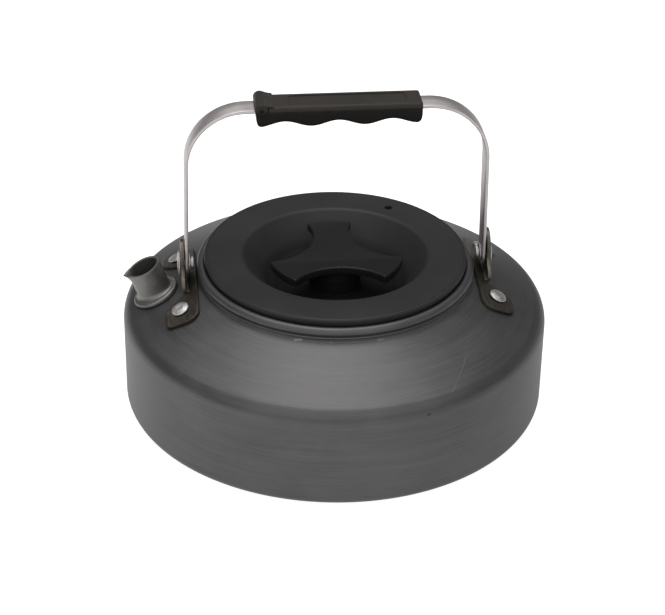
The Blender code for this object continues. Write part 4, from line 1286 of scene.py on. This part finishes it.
def knobOutline():
    sizes = knobSizes
    pitch = 360.0 / sizes["arms"]
    arm = lidSizes["bowlRadius"] - sizes["fingerGap"]
    halfGap = math.radians(pitch / 2 - sizes["armHalfAngle"])
    chord = arm * math.sin(halfGap)
    sag = arm * math.cos(halfGap) - sizes["waist"]
    hollow = (chord ** 2 + sag ** 2) / (2 * sag)
    centre = sizes["waist"] + hollow
    spread = math.degrees(math.asin(chord / hollow))
    outline = []
    for number in range(sizes["arms"]):
        direction = sizes["firstArm"] + pitch * number
        tip = sizes["armHalfAngle"]
        outline += arcPoints(0.0, 0.0, arm, direction - tip, direction + tip, 12)
        middle = math.radians(direction + pitch / 2)
        start = direction + pitch / 2 + 180.0 + spread
        x, y = centre * math.cos(middle), centre * math.sin(middle)
        waist = arcPoints(x, y, hollow, start, start - 2 * spread, 30)
        outline += waist[1:-1]
    return outline


def makeLidKnob():
    sizes = knobSizes
    knob = flatPrism("lid_knob_moulded", knobOutline(), sizes["plate"])
    stemTop = knobTop - sizes["plate"] / 2
    placeMesh(knob, Matrix.Translation((0.0, 0.0, stemTop)))
    bevelEdges(knob, sizes["edgeRound"], 4, 45.0)
    foot = bowlFloor + clearance
    stemRadius = sizes["waist"] - sizes["undercut"]
    profile = [(0.0, stemTop), (stemRadius, stemTop), (stemRadius, foot + sizes["footRise"])]
    profile += [(stemRadius + sizes["footSpread"], foot), (0.0, foot)]
    combine(knob, turnProfile("knob_stem", profile, 96), "UNION")
    bore = sizes["screwShank"] + clearance
    combine(knob, makeDrill("knob_drill", bore, foot - drillReach, foot + sizes["screwLength"], 48))
    shadeRound(knob, 34.0)
    finishPiece(knob, "lid_knob", "lid", knobPlastic)


def makeKnobScrew():
    sizes = knobSizes
    washerTop = bowlFloor - lidSizes["wall"] - clearance
    washerLow = washerTop - sizes["washer"]
    seat = washerLow - clearance
    tip = bowlFloor + sizes["screwLength"] - clearance
    head = seat - sizes["screwHeadHeight"]
    shank = sizes["screwShank"]
    edge = sizes["screwEdge"]
    profile = [(0.0, tip), (shank - edge, tip), (shank, tip - edge)]
    # thread drawn as rings between the tip and the plain neck
    pitch = sizes["threadPitch"]
    core = shank - sizes["threadDepth"]
    for number in range(int((tip - edge - seat - sizes["plainNeck"]) / pitch)):
        z = tip - edge - pitch * number
        profile += [(core, z - pitch * 0.35), (core, z - pitch * 0.5), (shank, z - pitch)]
    profile += [(shank, seat), (sizes["screwHead"], seat)]
    profile += arcPoints(sizes["screwHead"] - edge, head + edge, edge, 0, -90, 6)
    profile.append((0.0, head))
    screw = turnProfile("knob_screw_head", profile, 64)
    for azimuth in (0.0, 90.0):
        outline = oblong(2 * sizes["screwHead"] + drillReach, sizes["slotWidth"])
        slot = flatPrism("screw_slot", outline, 2 * sizes["slotDepth"])
        placeMesh(slot, Matrix.Translation((0.0, 0.0, head)) @ aroundAxis(azimuth))
        combine(screw, slot)
    shadeRound(screw)
    finishPiece(screw, "knob_screw", "lid", screwSteel)
    soft = 0.25 * sizes["washer"]
    ring = washerProfile(shank + clearance, sizes["washerRadius"], washerLow, washerTop, soft)
    washer = turnProfile("knob_washer_flat", ring, 96, closed=True)
    finishPiece(washer, "knob_washer", "lid", screwSteel)


print("materials made")
makeKettleBody()
print("vessel made")
makeSpout()
print("spout made")
for side, azimuth in sides.items():
    makeBracket(side, azimuth)
    makePivotRivet(side, azimuth)
    makePivotWasher(side, azimuth)
for name, azimuth in rivetPlaces.items():
    makeBracketRivet(name, azimuth)
print("brackets and rivets made")
makeBailStrip()
makeGripBase()
makeGripCover()
print("bail made")
makeLidDish()
makeLidSeal()
makeLidKnob()
makeKnobScrew()
print("lid made")


# floor, light and camera

floorLook = {
    "size": 6.0,
    "drop": 0.0002,
    "seenGlow": 0.90,
    "mirroredGlow": 0.68,
    "leftShare": 1.10,        # the floor is a little lighter to the left
    "rightShare": 0.64,
    "shareReach": 0.13,
    "colour": 0.50,
}


def makeFloor():
    mesh = bpy.data.meshes.new("floor")
    shape = bmesh.new()
    bmesh.ops.create_grid(shape, x_segments=1, y_segments=1, size=floorLook["size"] / 2)
    shape.to_mesh(mesh)
    shape.free()
    floor = newObject("floor", mesh)
    material = bpy.data.materials.new("pale floor")
    material.use_nodes = True
    tree = material.node_tree
    tree.nodes.clear()
    matt = addNode(tree, "ShaderNodeBsdfDiffuse")
    setInputs(matt, Color=(floorLook["colour"],) * 3 + (1.0,))
    path = addNode(tree, "ShaderNodeLightPath").outputs
    seen = mathNode(tree, "ADD", path["Is Camera Ray"], path["Is Transmission Ray"])
    seen = mathNode(tree, "MULTIPLY", seen, floorLook["seenGlow"])
    reach = floorLook["shareReach"]
    across = splitPlace(tree)["X"]
    share = rampNode(tree, across, -reach, reach, floorLook["leftShare"], floorLook["rightShare"])
    bright = mathNode(tree, "MULTIPLY", share, floorLook["mirroredGlow"])
    mirrored = mathNode(tree, "MULTIPLY", path["Is Glossy Ray"], bright)
    glow = setInputs(addNode(tree, "ShaderNodeEmission"), Strength=mathNode(tree, "ADD", seen, mirrored))
    both = addNode(tree, "ShaderNodeAddShader")
    setSocket(both.inputs[0], matt.outputs[0])
    setSocket(both.inputs[1], glow.outputs[0])
    # seen from below it is clear, so the underside of the part shows
    facing = addNode(tree, "ShaderNodeNewGeometry")
    clear = addNode(tree, "ShaderNodeBsdfTransparent")
    either = addNode(tree, "ShaderNodeMixShader")
    sources = (facing.outputs["Backfacing"], both.outputs[0], clear.outputs[0])
    for socket, source in zip(either.inputs, sources):
        setSocket(socket, source)
    setInputs(addNode(tree, "ShaderNodeOutputMaterial"), Surface=either.outputs[0])
    mesh.materials.append(material)
    floor.location.z = -floorLook["drop"]


worldLook = {
    "plain": 0.22,
    "frontDirection": (-0.10, -0.66, 0.74),
    "frontSpread": (0.50, 0.94),
    "frontGlow": 1.10,
}


def makeWorld():
    world = bpy.data.worlds.new("studio")
    bpy.context.scene.world = world
    world.use_nodes = True
    tree = world.node_tree
    tree.nodes.clear()
    path = addNode(tree, "ShaderNodeLightPath").outputs
    seen = mathNode(tree, "ADD", path["Is Camera Ray"], path["Is Transmission Ray"], clamp=True)
    strength = rampNode(tree, seen, 0.0, 1.0, worldLook["plain"], 1.0)
    # a broad soft light high in front
    place = addNode(tree, "ShaderNodeTexCoord").outputs["Generated"]
    toFront = vectorNode(tree, "DOT_PRODUCT", place, worldLook["frontDirection"])
    front = rampNode(tree, toFront, *worldLook["frontSpread"], 0.0, worldLook["frontGlow"])
    background = addNode(tree, "ShaderNodeBackground")
    setInputs(background, Strength=mathNode(tree, "ADD", strength, front))
    setInputs(addNode(tree, "ShaderNodeOutputWorld"), Surface=background.outputs[0])


lampAim = (0.0, 0.0, 0.05)
lampLook = {
    # place, width, height, power
    "overhead": ((-0.04, 0.22, 1.28), 0.85, 0.9, 7.6),
    "frontLeft": ((-0.80, -1.05, 0.55), 0.7, 0.6, 0.6),
    "frontRight": ((0.85, -0.95, 0.70), 0.8, 0.8, 0.4),
}


def makeLamps():
    for name, (place, width, height, power) in lampLook.items():
        light = bpy.data.lights.new(name, "AREA")
        light.shape = "RECTANGLE"
        light.size = width
        light.size_y = height
        light.energy = power
        lamp = newObject(name, light)
        lamp.location = place
        toward = Vector(lampAim) - Vector(place)
        lamp.rotation_euler = toward.to_track_quat("-Z", "Y").to_euler()


# what the photo fixes for the view
cameraSizes = {
    "photoWidth": 665,
    "focalPixels": 2008.0,
    "sensorWidth": 36.0,      # mm
    "distance": 0.8763,
    "elevation": 30.89,
    "azimuth": -6.3,          # the kettle stands turned a little to the camera
    "roll": 0.903,
    "target": (-0.00084, 0.0, 0.0400),
}


def makeCamera():
    sizes = cameraSizes
    lift = math.radians(sizes["elevation"])
    around = math.radians(sizes["azimuth"])
    roll = math.radians(sizes["roll"])
    back = Vector((math.sin(around) * math.cos(lift), -math.cos(around) * math.cos(lift), math.sin(lift)))
    target = Matrix.Rotation(around, 3, "Z") @ Vector(sizes["target"])
    right = Vector((math.cos(around), math.sin(around), 0.0))
    tilted = right * math.cos(roll) + back.cross(right) * math.sin(roll)
    lens = bpy.data.cameras.new("camera")
    lens.sensor_fit = "HORIZONTAL"
    lens.sensor_width = sizes["sensorWidth"]
    lens.lens = sizes["focalPixels"] / sizes["photoWidth"] * sizes["sensorWidth"]
    camera = newObject("camera", lens)
    turn = Matrix((tilted, back.cross(tilted), back)).transposed()
    camera.matrix_world = Matrix.Translation(target + back * sizes["distance"]) @ turn.to_4x4()
    bpy.context.scene.camera = camera


makeFloor()
makeWorld()
makeLamps()
makeCamera()
bpy.context.scene.view_settings.view_transform = "Standard"
print("stage made")
